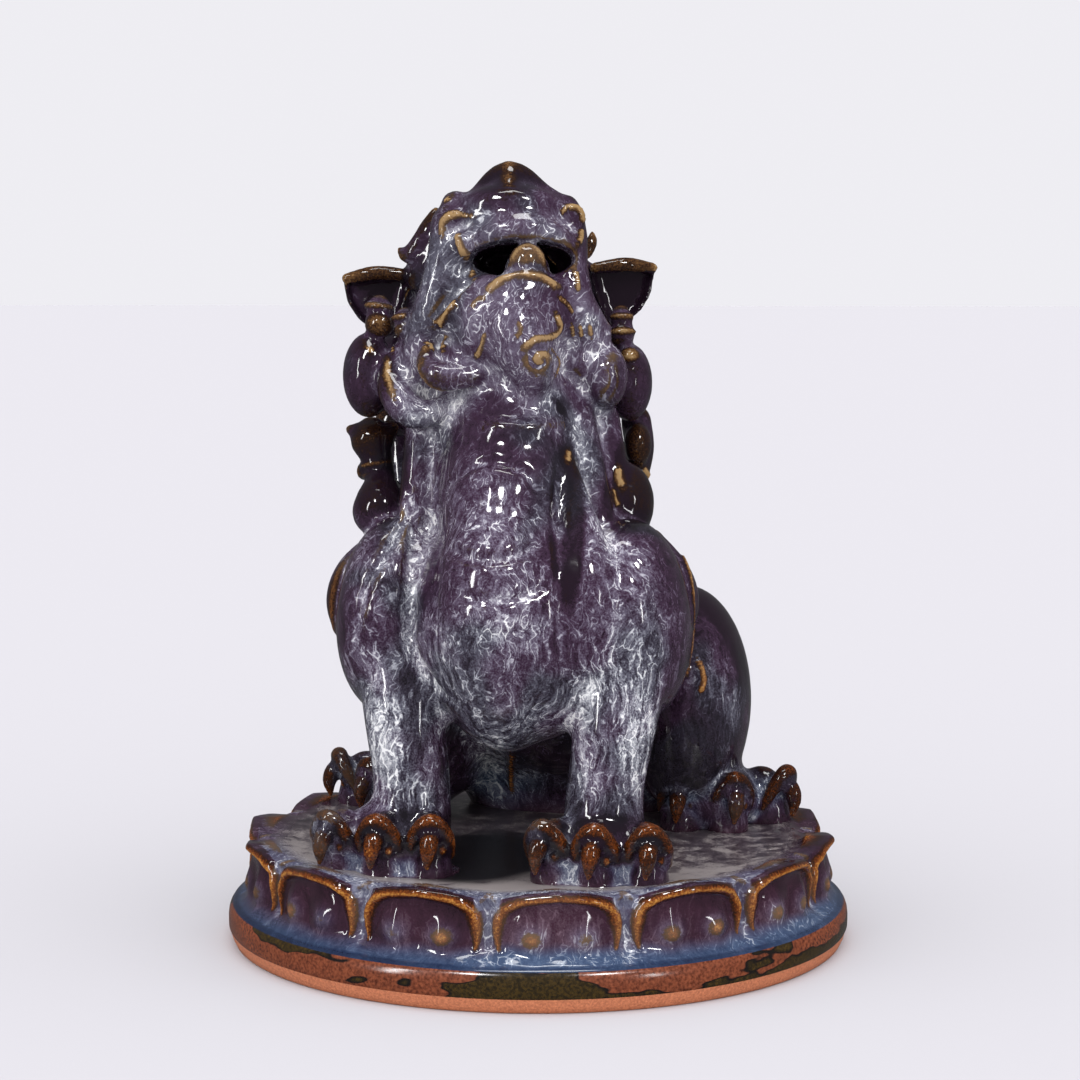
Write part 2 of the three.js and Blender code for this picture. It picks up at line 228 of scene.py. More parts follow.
def trunk(bm):
    roll(bm, [(0, 54, 36, 38, 18), (0, 46, 64, 40, 30), (0, 18, 100, 40, 40), (0, -6, 132, 32, 36),
              (-1, -13, 160, 25, 27), (-5, -8, 195, 22, 25)])
    ball(bm, (2, -31, 106), (35, 37, 39))
    ball(bm, (-1.5, -36, 107), (25, 36, 42))
    roll(bm, [(-2, -20, 176, 20, 16), (-2, -27, 152, 22, 22), (-2, -33, 132, 21, 26),
              (-2, -30, 110, 20, 22)])
    roll(bm, [(-9, -6, 188, 27, 24), (-9, -8, 160, 30, 27), (-5, -12, 138, 34, 27)])


def fore_quarter(bm, side):
    ball(bm, (side * 38 - 2, -28, 106), (18, 26, 32), (0, -side * 5, 0))
    x = LEG_X[side]
    roll(bm, [(side * 34.5, -38, 94, 15), (x + side * 2.5, -44, 75, 12.8), (x, -46, 56, 12),
              (x, -48, 42, 13)])
    roll(bm, [(x, -46, 44, 12.5, 12), (PAW_X[side], -53, 37, 19, 13)])


def hind_quarter(bm, side):
    ball(bm, (side * 42, 37, 72), (22.5, 34, 38), (-8, 0, side * 10))
    ball(bm, (side * 52, 34, 40), (16, 19, 12), (0, 0, side * 20))


clay = bmesh.new()
lay(clay, HERE, trunk)
for side in SIDES:
    lay(clay, HERE, fore_quarter, side)
    lay(clay, HERE, hind_quarter, side)
print("body of", len(clay.faces), "faces")

# %% [markdown]
# ## The head
# The head looks up, a little to its left, so the camera sees the broad underside of the upper jaw, the
# mouth below it like a dark slot, and the big round chin. The skull behind is laid in the head's own
# frame, so that it can be turned as a whole. What the camera sees is laid by marks on the glass, where
# it can be measured.

# %% Head core
HEAD_CENTRE = (-10.3, -4.2, 205)
HEAD_YAW, HEAD_ROLL = math.radians(20), math.radians(-2)
HEAD_TURN = Matrix.Rotation(HEAD_YAW, 4, "Z") @ Matrix.Rotation(HEAD_ROLL, 4, "Y")
HEAD_FRAME = Matrix.Translation(HEAD_CENTRE) @ HEAD_TURN


def skull(bm):
    ball(bm, (0, 6, 3), 26)
    roll(bm, [(0, 10, 14, 20, 16), (0, -4, 24, 17, 11)])
    roll(bm, [(0, -4, 31, 6, 5), (0, 16, 24, 9, 6)])
    roll(bm, [(1, -16, 2, 17, 11), (1.5, -26, -8, 15, 11)])
    roll(bm, [(0, 8, 0, 26, 20), (0, 10, -22, 33, 20), (0, 12, -46, 24, 18)])


def jaws(bm):
    """The upper jaw with its two corners and its peak, then the cheeks, the lower jaw and the chin."""
    ball(bm, spot(-9.8, 107, 22), (21.5, 20, 8.6), (-14, 0, 0))
    ball(bm, spot(-10, 111, 20), (13, 17, 8.5), (-10, 0, 0))
    roll(bm, spots([(-27, 94, 33, 4.5), (-21, 100.5, 37, 4.6), (-6, 103.5, 39.5, 5), (6, 100.5, 36.5, 4.5),
                    (10, 92, 33, 4.5)]), FORWARD)
    roll(bm, spots([(-30.5, 106, 28, 6), (-31.5, 95, 31, 6), (-33.5, 82, 31, 7), (-38.5, 67, 27, 7),
                    (-42, 52, 23, 6)]))
    roll(bm, spots([(10.5, 104, 27, 5.4), (10.8, 92, 30, 5.4), (11.5, 80, 32, 6.5), (16, 68, 28, 8)]))
    ball(bm, spot(-8, 82, 32), (19, 16, 7.5))
    ball(bm, spot(-9, 73.5, 33), (20.5, 15, 11))
    ball(bm, spot(-11, 65.5, 34), (17.5, 11.5, 10))
    roll(bm, spots([(-9, 72, 40, 11), (-4.5, 62, 42.5, 9.5), (-2, 55.5, 42, 6.6)]))


lay(clay, HEAD_FRAME, skull)
lay(clay, VIEW_FRAME, jaws)
print("body and head of", len(clay.faces), "faces")

# %% [markdown]
# ## Fuse the clay
# Forms that overlap are only stuck together, with a sharp seam where they meet. The Remesh modifier
# in voxel mode takes the outside of them all and lays an even net of quads over it, and the Smooth
# modifier then works like a wet sponge on the seams. Booleans would join the forms too, but they keep
# the seams sharp.

# %% Fuse and sponge
def as_object(bm, name):
    mesh = bpy.data.meshes.new(name)
    bm.to_mesh(mesh)
    bm.free()
    thing = bpy.data.objects.new(name, mesh)
    bpy.context.scene.collection.objects.link(thing)
    return thing


def with_modifiers(thing):
    """The mesh of an object after its modifiers; the object itself is taken away."""
    done = bpy.data.meshes.new_from_object(thing.evaluated_get(bpy.context.evaluated_depsgraph_get()))
    bpy.data.meshes.remove(thing.data)
    return done


def fuse(skin, forms, voxel, rounds):
    """Fuses new forms with the skin so far, in quads of `voxel` mm, and sponges it `rounds` times."""
    if skin:
        forms.from_mesh(skin)
    clay = as_object(forms, "clay")
    net = clay.modifiers.new("net", "REMESH")
    net.mode, net.voxel_size = "VOXEL", voxel
    sponge = clay.modifiers.new("sponge", "SMOOTH")
    sponge.factor, sponge.iterations = 0.5, rounds
    skin = with_modifiers(clay)
    print("skin of", len(skin.polygons), "quads of", voxel, "mm")
    return skin


skin = fuse(None, clay, 1.6, 14)

# %% [markdown]
# ## Brow, ears and curls at the back
# The ears are leaf-shaped plates with a hollow cup that faces forward. A ball would be too round for
# that, so the outline is drawn once, extruded to a plate, and its front is inset and pushed in. Eyes,
# brows and the back of the head can't be seen in the photograph. They are made up in keeping and
# plainer: two balls, two rolls, and rows of round curls.

# %% Brow, ears and curls
EAR_OUTLINE = ((-9, 10), (-7.5, 3), (-5, -5), (-2, -11), (4, -8.5), (8.4, -5), (11.8, 0.5),
               (13, 8.8), (4, 10))
EAR_PLACE = {-1: (-37, 5, -0.5), 1: (37.5, 5, -0.5)}
EAR_DEPTH = 8
EAR_RIM, EAR_CUP = 1.9, 5.5
BACK_CURLS = (
    (20, ((0, 23),)),
    (12, ((-18, 19), (18, 19))),
    (0, ((-26, 20), (-9, 30), (9, 30), (26, 20))),
    (-19, ((-29, 21), (-11, 33), (11, 33), (29, 21))),
    (-38, ((-20, 31), (0, 37), (20, 31))),
)


def ear(bm, side):
    """A leaf-shaped plate, flat along its top and pointed outward, with a cup sunk into its front."""
    x, y, z = EAR_PLACE[side]
    rim = [bm.verts.new((x + side * a, y, z + b)) for a, b in EAR_OUTLINE]
    front = bm.faces.new(rim)
    solid = bmesh.ops.extrude_face_region(bm, geom=[front])["geom"]
    back = [part for part in solid if isinstance(part, bmesh.types.BMVert)]
    bmesh.ops.translate(bm, vec=(0, EAR_DEPTH, 0), verts=back)
    plate = {face for vert in rim + back for face in vert.link_faces}
    bmesh.ops.recalc_face_normals(bm, faces=list(plate))
    bmesh.ops.inset_region(bm, faces=[front], thickness=EAR_RIM, depth=-EAR_CUP, use_even_offset=True)


def brow_and_ears(bm):
    for side in SIDES:
        ear(bm, side)
        ball(bm, (side * 13, 10, 20), 6.5)
        roll(bm, [(side * 5, 16, 25, 2.5), (side * 13, 15, 24.5, 3.5), (side * 21, 10, 18, 3),
                  (side * 28, 10, 8, 2.4)], FORWARD)


def back_mane(bm):
    for z, places in BACK_CURLS:
        for x, y in places:
            ball(bm, (x, y, z), (10.5, 9.5, 11))


clay = bmesh.new()
for make in (brow_and_ears, back_mane):
    lay(clay, HEAD_FRAME, make)
print("ears, brow and", sum(len(places) for z, places in BACK_CURLS), "curls")

# %% [markdown]
# ## Nose and temple flames
# Seen from below, the upper jaw ends in a ridge with a peak in its middle and a round corner at each
# end. Small flames of hair stand between it and the ears. They are rolls that run thin at the tip.

# %% Nose and temple flames
def temple_flames(bm):
    """Small flames of hair between the muzzle and the ears."""
    roll(bm, spots([(-34.6, 110, 12, 1.6), (-37, 104.6, 13, 2.9), (-40, 98.6, 13, 3.4),
                    (-44.2, 94.6, 12, 2.8), (-47, 97.2, 11, 1.2)]))
    roll(bm, spots([(-33, 100, 14, 4), (-36.5, 93, 13, 4.4), (-40, 87, 10, 4.4)]))
    roll(bm, spots([(15, 96, 8, 2.8), (17.2, 99.6, 8, 2.1), (17.4, 103, 8, 1)]))


def nose(bm):
    """The ridge of the upper jaw: a peak in the middle that slopes down to two corners."""
    roll(bm, spots([(-29, 108.5, 27, 4.2), (-21.5, 112.6, 28, 3.9), (-10.5, 120.4, 28, 5.6),
                    (0.5, 114.6, 28, 4.2), (9, 108.5, 26, 4.6)]), UPWARD)
    roll(bm, spots([(-10.5, 117, 32, 5), (-10, 112, 37, 4)]))
    ball(bm, spot(-29.5, 106.5, 31), (5, 5.5, 5.5))
    ball(bm, spot(-28, 111.8, 27), (4.8, 5, 4.4))
    ball(bm, spot(9.8, 107, 29), (5, 5.5, 5.5))
    ball(bm, spot(8.2, 110.4, 27), (4.8, 5, 4.6))


for make in (temple_flames, nose):
    lay(clay, VIEW_FRAME, make)
print("with the nose,", len(clay.faces), "faces")

# %% [markdown]
# ## The ruff
# The mane is a ruff of fat locks round the jaw, with hanging locks under the ears and long strands down
# the neck. Each one is as thick as a finger of clay, and could be a curve with a bevel, but most of
# them are flat on one side or swell in the middle, so they are balls and rolls too.

# %% Ruff and hanging locks
def ruff(bm):
    """Fat lobes beside the jaw, and two crescents that curl in under the chin."""
    ball(bm, spot(-57, 55, 16), (8.4, 9, 13.6))
    roll(bm, spots([(-50, 60, 24, 2.5), (-49.3, 51, 27, 5), (-44.5, 44, 30, 5.6), (-38, 42, 31, 4.6),
                    (-30, 46, 28, 3)]), FORWARD)
    roll(bm, spots([(-37.5, 63.5, 34, 2.2), (-38, 58.5, 36, 3.4), (-33.5, 54.6, 38.5, 4.4),
                    (-25, 54.4, 38.5, 3.8), (-15.5, 57, 37, 2)]), FORWARD)
    ball(bm, spot(-25, 60, 32), (9, 8, 6))
    ball(bm, spot(-42, 57, 21), (8, 9, 12))
    ball(bm, spot(21.8, 54.5, 26), (7.2, 10, 10.5))
    ball(bm, spot(12, 60, 26), (7, 9, 10))
    ball(bm, spot(29.8, 52.5, 8), (7.4, 10, 12.5))
    ball(bm, spot(-38, 55, 10), (11, 10, 14))


def hanging_locks(bm):
    """A bell and a bulb at the right of the neck, and two bulbs at the left."""
    roll(bm, spots([(-63.5, 37, 2, 1.8), (-58, 35.5, 3, 4.6), (-53.5, 34.5, 3, 6), (-48.5, 37.5, 2, 2)]))
    roll(bm, spots([(-56, 33, 3, 7), (-54, 26.5, 4, 5), (-53, 21, 5, 4.8), (-53.2, 13, 9, 8.2),
                    (-53.2, 8, 10, 8.6), (-51, 2, 10, 4.4)]))
    roll(bm, spots([(-50, 40, -12, 5), (-34, 38, -8, 6)]), FORWARD)
    roll(bm, spots([(-52, 12, 2, 6), (-36, 14, 2, 6)]), FORWARD)
    roll(bm, spots([(-44, 42, -24, 8), (-45, 28, -24, 8), (-44, 12, -20, 8)]), FORWARD)
    ball(bm, spot(32.6, 32, 2), (4.6, 6, 7))
    ball(bm, spot(28.4, 12.4, 19), (9.2, 10, 12.8))
    roll(bm, spots([(30, 12, 4, 6), (14, 10, 4, 6)]), FORWARD)
    roll(bm, spots([(32, 40, -4, 5), (33, 30, -6, 5), (30, 18, -2, 5)]), FORWARD)


def front_mane(bm):
    """Strands that run down the neck to the shoulders, and the long lock at the left of the throat."""
    roll(bm, spots([(-38.5, 42, 22, 6), (-40.5, 25, 22, 5.2), (-43, 8, 26, 4.4), (-48.5, -6, 34, 2)]))
    roll(bm, spots([(12, 42, 28, 6), (15.5, 24, 30, 6), (20, 6, 34, 5), (26.5, -8, 41, 2)]))
    roll(bm, spots([(20.5, 40, 20, 6), (23, 22, 22, 6), (25, 6, 27, 4)]))
    roll(bm, spots([(7.6, 33.5, 37, 1.8, 2), (10, 18, 41, 4.6, 4.6), (13, 0, 47.5, 8, 7),
                    (15, -18, 52, 11, 9), (15, -38, 49, 12, 9)]))


for make in (ruff, hanging_locks, front_mane):
    lay(clay, VIEW_FRAME, make)
print("with the ruff,", len(clay.faces), "faces")

# %% [markdown]
# ## Tail and crests
# A flame tail climbs the spine, with a curl at each side of its root and three knobs of the spine above
# it. The photograph doesn't show it, so it is plain. A low crest runs down outside each shoulder.
# One crest is written down, and the other is its mirror image, moved to where the photograph has it.

# %% Tail and crests
CREST_MOVES = {-1: (0, 0), 1: (8, 10)}
SPINE_KNOBS = ((50, 122), (58, 106), (64, 90))


def crest(bm, side):
    inward, back = CREST_MOVES[side]
    stops = ((47, -18, 131, 2), (56, -24, 119, 4, 6), (58.5, -27, 108, 4, 6), (55, -31, 97, 2))
    roll(bm, [(side * (x - inward), y + back, *rest) for x, y, *rest in stops])


def tail(bm):
    roll(bm, [(0, 66, 42, 13, 11), (0, 73, 62, 15, 11), (0, 68, 88, 12, 10), (0, 55, 113, 3, 4)])
    for side in SIDES:
        roll(bm, [(side * 9, 67, 46, 8), (side * 21, 67, 62, 8), (side * 23, 58, 82, 6),
                  (side * 15, 54, 96, 2)], FORWARD)
        ball(bm, (side * 14, 71, 42), (9, 8, 9))
    for y, z in SPINE_KNOBS:
        ball(bm, (0, y - 2, z), (5, 6, 8))


lay(clay, HERE, tail)
for side in SIDES:
    lay(clay, HERE, crest, side)
print("with the tail,", len(clay.faces), "faces")

# %% [markdown]
# ## Toes
# Every paw has three toes, and they are all pressed from one small mould. One toe is modelled at the
# origin, and `toe_frames` says where each of the twelve stands and which way it points. Hind paws lie
# further out and turn away from the body.

# %% Toes
TOE_PITCH = 14
PAW_Y, TOE_SWEEP = -61, 2.5
HIND_TOES = ((43, 24, 6), (58, 25, 26), (69, 37, 66))
HIND_TOE_SIZE = 1.02


def toe_frames():
    """Where each toe stands: x, y, its heading (0 looks along -Y) and its size about the dish."""
    places = []
    for side in SIDES:
        places += [(PAW_X[side] + k * TOE_PITCH, PAW_Y + TOE_SWEEP * k * k, k * TOE_PITCH, 1)
                   for k in (-1, 0, 1)]
        places += [(side * x, y, side * heading, HIND_TOE_SIZE) for x, y, heading in HIND_TOES]
    for x, y, heading, size in places:
        turn = Matrix.Rotation(math.radians(heading), 4, "Z") @ Matrix.Scale(size, 4)
        yield Matrix.Translation((x, y, DISH_HEIGHT)) @ turn


def toe_pad(bm):
    """The flesh of a toe: a dome with a straight front, wider at its foot."""
    ball(bm, (0, 1, 9.5), (5.6, 8.6, 9.2))
    roll(bm, [(0, -1, 1, 7, 8.4), (0, 0, 8, 5.8, 7.8)])


for toe_frame in toe_frames():
    lay(clay, toe_frame, toe_pad)
skin = fuse(skin, clay, 1.0, 5)

# %% [markdown]
# ## Press in the mouth
# The mouth is a deep slot under the raised muzzle. A Boolean could cut it, but the skin is soft clay
# here, so it is pressed in like a thumb hole: every vertex inside an oval on the glass moves away from
# the camera. The next fusing lays an even net over the stretched walls and rounds the lips.

# %% Mouth
SIGHT_LINE = np.array(VIEW_FRAME.to_3x3() @ FORWARD)
EYE = np.array(camera.location) / MM
MOUTH_MIDDLE, MOUTH_HALF_SIZES = (-5.8, 94), (17.8, 6.6)
MOUTH_FRONT, MOUTH_DEPTH = 24, 18
LIP_SHARE = 0.22


def vertex_places(mesh):
    places = np.empty(len(mesh.vertices) * 3)
    mesh.vertices.foreach_get("co", places)
    return places.reshape(-1, 3)


def on_glass(places):
    """x, z and nearness on the glass for an array of places."""
    view = (places - EYE) @ np.array(VIEW_FRAME.to_3x3())
    reach = view[:, 1]
    return view[:, 0] / reach * GLASS_REACH, view[:, 2] / reach * GLASS_REACH, AIM_REACH - reach


def press_hole(mesh, middle, half_sizes, front, depth):
    """Presses an oval hole of the given depth into all that is nearer than `front`."""
    places = vertex_places(mesh)
    x, z, near = on_glass(places)
    across = np.hypot((x - middle[0]) / half_sizes[0], (z - middle[1]) / half_sizes[1])
    push = depth * np.clip((1 - across) / LIP_SHARE, 0, 1) * (near > front)
    places += push[:, None] * SIGHT_LINE
    mesh.vertices.foreach_set("co", places.ravel())
    print("pressed", int((push > 0).sum()), "vertices")


press_hole(skin, MOUTH_MIDDLE, MOUTH_HALF_SIZES, MOUTH_FRONT, MOUTH_DEPTH)

# %% [markdown]
# ## Claws and pools
# Each claw hangs from a hood of skin at the top of its toe. Claws are fused last and hardly smoothed,
# so they stay crisp. Glaze that ran down the front legs stands in a low pool round each paw, which is a
# ball pressed almost flat.

# %% Claws and pools
def toe_claw(bm):
    roll(bm, [(-6.2, -3.4, 6.5, 1.4), (-5, -6.4, 12.6, 2.3), (0, -8.4, 17.4, 2.9), (5, -6.4, 12.6, 2.3),
              (6.2, -3.4, 6.5, 1.4)], FORWARD)
    roll(bm, [(0.3, -4, 14, 2.8), (-0.2, -9.4, 12.8, 3), (-0.7, -11.6, 8.8, 2.5), (-1.1, -11.2, 4, 0.9)])
    ball(bm, (3.3, -6.2, 9), (1.9, 2.4, 2.4))


def glaze_skirt(bm, side):
    """Glaze that ran down the leg and stands in a low pool round the paw."""
    ball(bm, (PAW_X[side], -55, DISH_HEIGHT - 0.4), (23, 16.5, 1.8))


clay = bmesh.new()
for toe_frame in toe_frames():
    lay(clay, toe_frame, toe_claw)
for side in SIDES:
    lay(clay, HERE, glaze_skirt, side)
print("claws and pools of", len(clay.faces), "faces")

# %% [markdown]
# ## Tongue, knobs and rims
# A tongue rises in the mouth over a lower lip. The locks of the ruff hang from small knobs, and most
# knobs have a collar like a bead on a cord. The ears get a rounded top edge, which a bevel on the plate
# couldn't give, because the sponge of the second layer would have worn it away.

# %% Tongue, knobs and rims
def tongue(bm):
    roll(bm, spots([(-4.3, 88, 24, 7.4, 6), (-4.3, 90, 34, 7, 6.4), (-4.2, 92.6, 39, 5.8, 6)]))
    roll(bm, spots([(-4.2, 93, 38, 5.4, 5.4), (-4.6, 86, 40, 8, 4)]))
    roll(bm, spots([(-14, 84.6, 37, 2.4), (-4.4, 87.4, 40, 4.8), (5, 85, 37, 2.4)]), FORWARD)


def ear_rims(bm):
    for side in SIDES:
        x, y, z = EAR_PLACE[side]
        roll(bm, [(x - side * 7, y, z + 8.6, 2), (x + side * 3, y, z + 9.6, 2.3),
                  (x + side * 12, y + 1.5, z + 8.2, 1.7)], FORWARD)


def beads(bm):
    """The knobs from which the locks of the ruff hang, most of them with a collar."""
    roll(bm, spots([(-53.6, 78, 17, 3.6), (-53.4, 72, 19, 4.8)]))
    ball(bm, spot(-53.6, 77.6, 18), (5, 5, 2), (0, 8, 0))
    roll(bm, spots([(-45, 74.5, 25, 3), (-44.8, 70, 26, 3.6)]))
    ball(bm, spot(-45, 74.4, 26), (4.4, 4.4, 1.6), (0, -6, 0))
    roll(bm, spots([(27, 75, 10, 3.2), (27.3, 68, 11, 4)]))
    ball(bm, spot(27.2, 74.4, 11), (4.1, 4.2, 1.6))
    ball(bm, spot(27.6, 69.4, 12), (4.3, 4.4, 1.6))
    ball(bm, spot(21, 68.5, 27), (2.4, 3, 4.2), (0, 24, 0))
    ball(bm, spot(24.3, 61.5, 26), 2.2)
    ball(bm, spot(30, 61.2, 14), (3.4, 3.6, 3), (0, 10, 0))
    ball(bm, spot(-56, 38.6, 2), (4, 4, 2.4))
    ball(bm, spot(-58.5, 23, 2), (2.6, 3, 3))
    for z, size in ((28.4, 5.2), (25.4, 5.6), (22, 5.4)):
        ball(bm, spot(-54.6 + 0.1 * (28 - z), z, 4), (size, size, 1.5), (0, -8, 0))
    ball(bm, spot(33.6, 18.6, 14), (3.2, 3.2, 2.4), (0, 30, 0))


for make in (tongue, beads):
    lay(clay, VIEW_FRAME, make)
lay(clay, HEAD_FRAME, ear_rims)
skin = fuse(skin, clay, 0.75, 3)

# %% [markdown]
# ## Marks in the skin
# Ribs, creases and the thin ridges of the curls are drawn on the clay with a wooden tool. A sculpting
# brush would do it here. A script can do the same with sight lines: a line on the glass is carried to
# the skin by casting rays from the camera, and the vertices near it move along their normals. The same
# call notes how much the glaze thins there, because a raised line comes out amber.

# %% Draw on the skin
MARK_STEP = 0.8
# Over LINE_ENDS of its length at each end, a mark falls to END_DEPTH of its height.
LINE_ENDS, END_DEPTH = 0.18, 0.35
# A mark reaches MARK_REACH half widths and falls off by MARK_FALL, its amber by THIN_SPREAD of that.
MARK_REACH, MARK_FALL, THIN_SPREAD = 1.6, 2.2, 0.5


def vertex_normals(mesh):
    normals = np.empty(len(mesh.vertices) * 3)
    mesh.vertices.foreach_get("normal", normals)
    return normals.reshape(-1, 3)


class Skin:
    """The skin as arrays: places and normals of its vertices, and where the glaze is thin or pools."""

    def __init__(self, mesh):
        self.mesh = mesh
        self.places = vertex_places(mesh)
        self.thin = np.zeros(len(self.places))
        self.milk = np.zeros(len(self.places))
        holder = bpy.data.objects.new("holder", mesh)
        bpy.context.scene.collection.objects.link(holder)
        self.tree = BVHTree.FromObject(holder, bpy.context.evaluated_depsgraph_get())
        bpy.data.objects.remove(holder)
        self.normals = vertex_normals(mesh)

    def sight(self, stops):
        """Points of the skin along a smooth line on the glass, and how far along the line each is."""
        stops = np.array(stops, float)
        length = np.hypot(*np.diff(stops, axis=0).T).sum()
        count = max(2, int(length / MARK_STEP))
        found = []
        for i in range(count + 1):
            here, ahead = smooth_way(stops, i / count)
            ray = VIEW_FRAME.to_3x3() @ Vector((here[0], GLASS_REACH, here[1]))
            hit = self.tree.ray_cast(Vector(EYE), ray.normalized())[0]
            if hit:
                found.append((*hit, i / count))
        return np.array(found)

    def mark(self, stops, width, height=0, thin=0, milk=0):
        """Draws one line. `width` is its half width in mm and `height` how proud it stands.

        A negative `thin` or `milk` takes amber or milk away.
        """
        line = self.sight(stops)
        if len(line) < 2:
            print("no skin under the line from", stops[0])
            return
        points = line[:, :3]
        span = width * MARK_REACH
        box = ((self.places > points.min(0) - span) & (self.places < points.max(0) + span)).all(1)
        near = np.flatnonzero(box)
        gaps = np.linalg.norm(self.places[near, None] - points[None], axis=2)
        closest = gaps.argmin(1)
        along = line[closest, 3]
        ends = np.clip(np.minimum(along, 1 - along) / LINE_ENDS, 0, 1) ** 0.5
        across = np.clip(gaps[np.arange(len(near)), closest] / width, 0, MARK_REACH)
        soft = np.exp(-MARK_FALL * across**2) * (END_DEPTH + (1 - END_DEPTH) * ends)
        self.places[near] += self.normals[near] * (soft * height)[:, None]
        if thin < 0:
            self.thin[near] += soft**THIN_SPREAD * thin
        else:
            self.thin[near] = np.maximum(self.thin[near], soft**THIN_SPREAD * thin)
        wash = np.exp(-across**2) * milk
        if milk < 0:
            self.milk[near] += wash
        else:
            self.milk[near] = np.maximum(self.milk[near], wash)

    def save(self):
        self.mesh.vertices.foreach_set("co", self.places.ravel())
        self.mesh.update()


carved = Skin(skin)
print("a skin of", len(carved.places), "vertices to draw on")

# %% [markdown]
# ## Ribs and valleys
# The chest carries soft ribs like a folded apron, between two deep valleys. A crease runs down beside
# the long lock of the throat. They are broad and shallow, so they are pressed with wide marks, and a
# little milk gathers in each.

# %% Ribs and valleys
SHOULDER_FOLD = ((-44.5, 18), (-45, 8), (-51, -3), (-58.5, -17), (-62, -33))


def draw_body(skin):
    for stops, depth in (
        (((-33, 9), (-31, 18), (-23, 24.5), (-14, 26), (-5, 22.5), (1.5, 14)), 1.2),
        (((-31, -3), (-22, -6), (-12, -6), (0, -2.5)), 1.4),
        (((-29, -18), (-19, -20), (-8, -19.5), (2, -15)), 1.1),
        (((-26, -30), (-15, -32.5), (-4, -30)), 0.7),
        (((-14, 22), (-14.6, 12), (-14.5, 0)), 0.3),
    ):
        skin.mark(stops, 2.6, -depth, milk=0.12)
    skin.mark(((6.3, 30), (6, 10), (6.6, -10), (6.8, -30), (8.4, -54)), 2.6, -1.0, milk=0.1)
    skin.mark(((-41.5, 14), (-42.7, -3), (-43.7, -28), (-42.5, -38), (-34, -50), (-23, -62)), 3, -1.8,
              milk=0.2)
    skin.mark(SHOULDER_FOLD, 2.6, -1.2, milk=0.55)
    skin.mark(((27, -3), (36, -14), (40.5, -26), (41.5, -45)), 3, -0.8, milk=0.1)
    skin.mark(((45.5, -1), (50, -13), (50.8, -28), (49, -45)), 1.5, 0.9, thin=0.3)
    skin.mark(SHOULDER_FOLD, 6, thin=-0.7)
    skin.mark(((-62, -4), (-67, -12), (-69, -24), (-67.5, -36)), 2.6, 0.5, thin=0.7)
    skin.mark(((-19, 38), (-6, 37), (8, 38.5)), 4.5, 1.6)


draw_body(carved)
print("ribs drawn, milk on", int((carved.milk > 0).sum()), "vertices")

# %% [markdown]
# ## Lips, brow and cheeks
# The face is drawn with short proud ridges, where the glaze broke to amber: both lips, the folds at the
# corners of the mouth, the curls of the cheeks and three small strokes beside the chin.

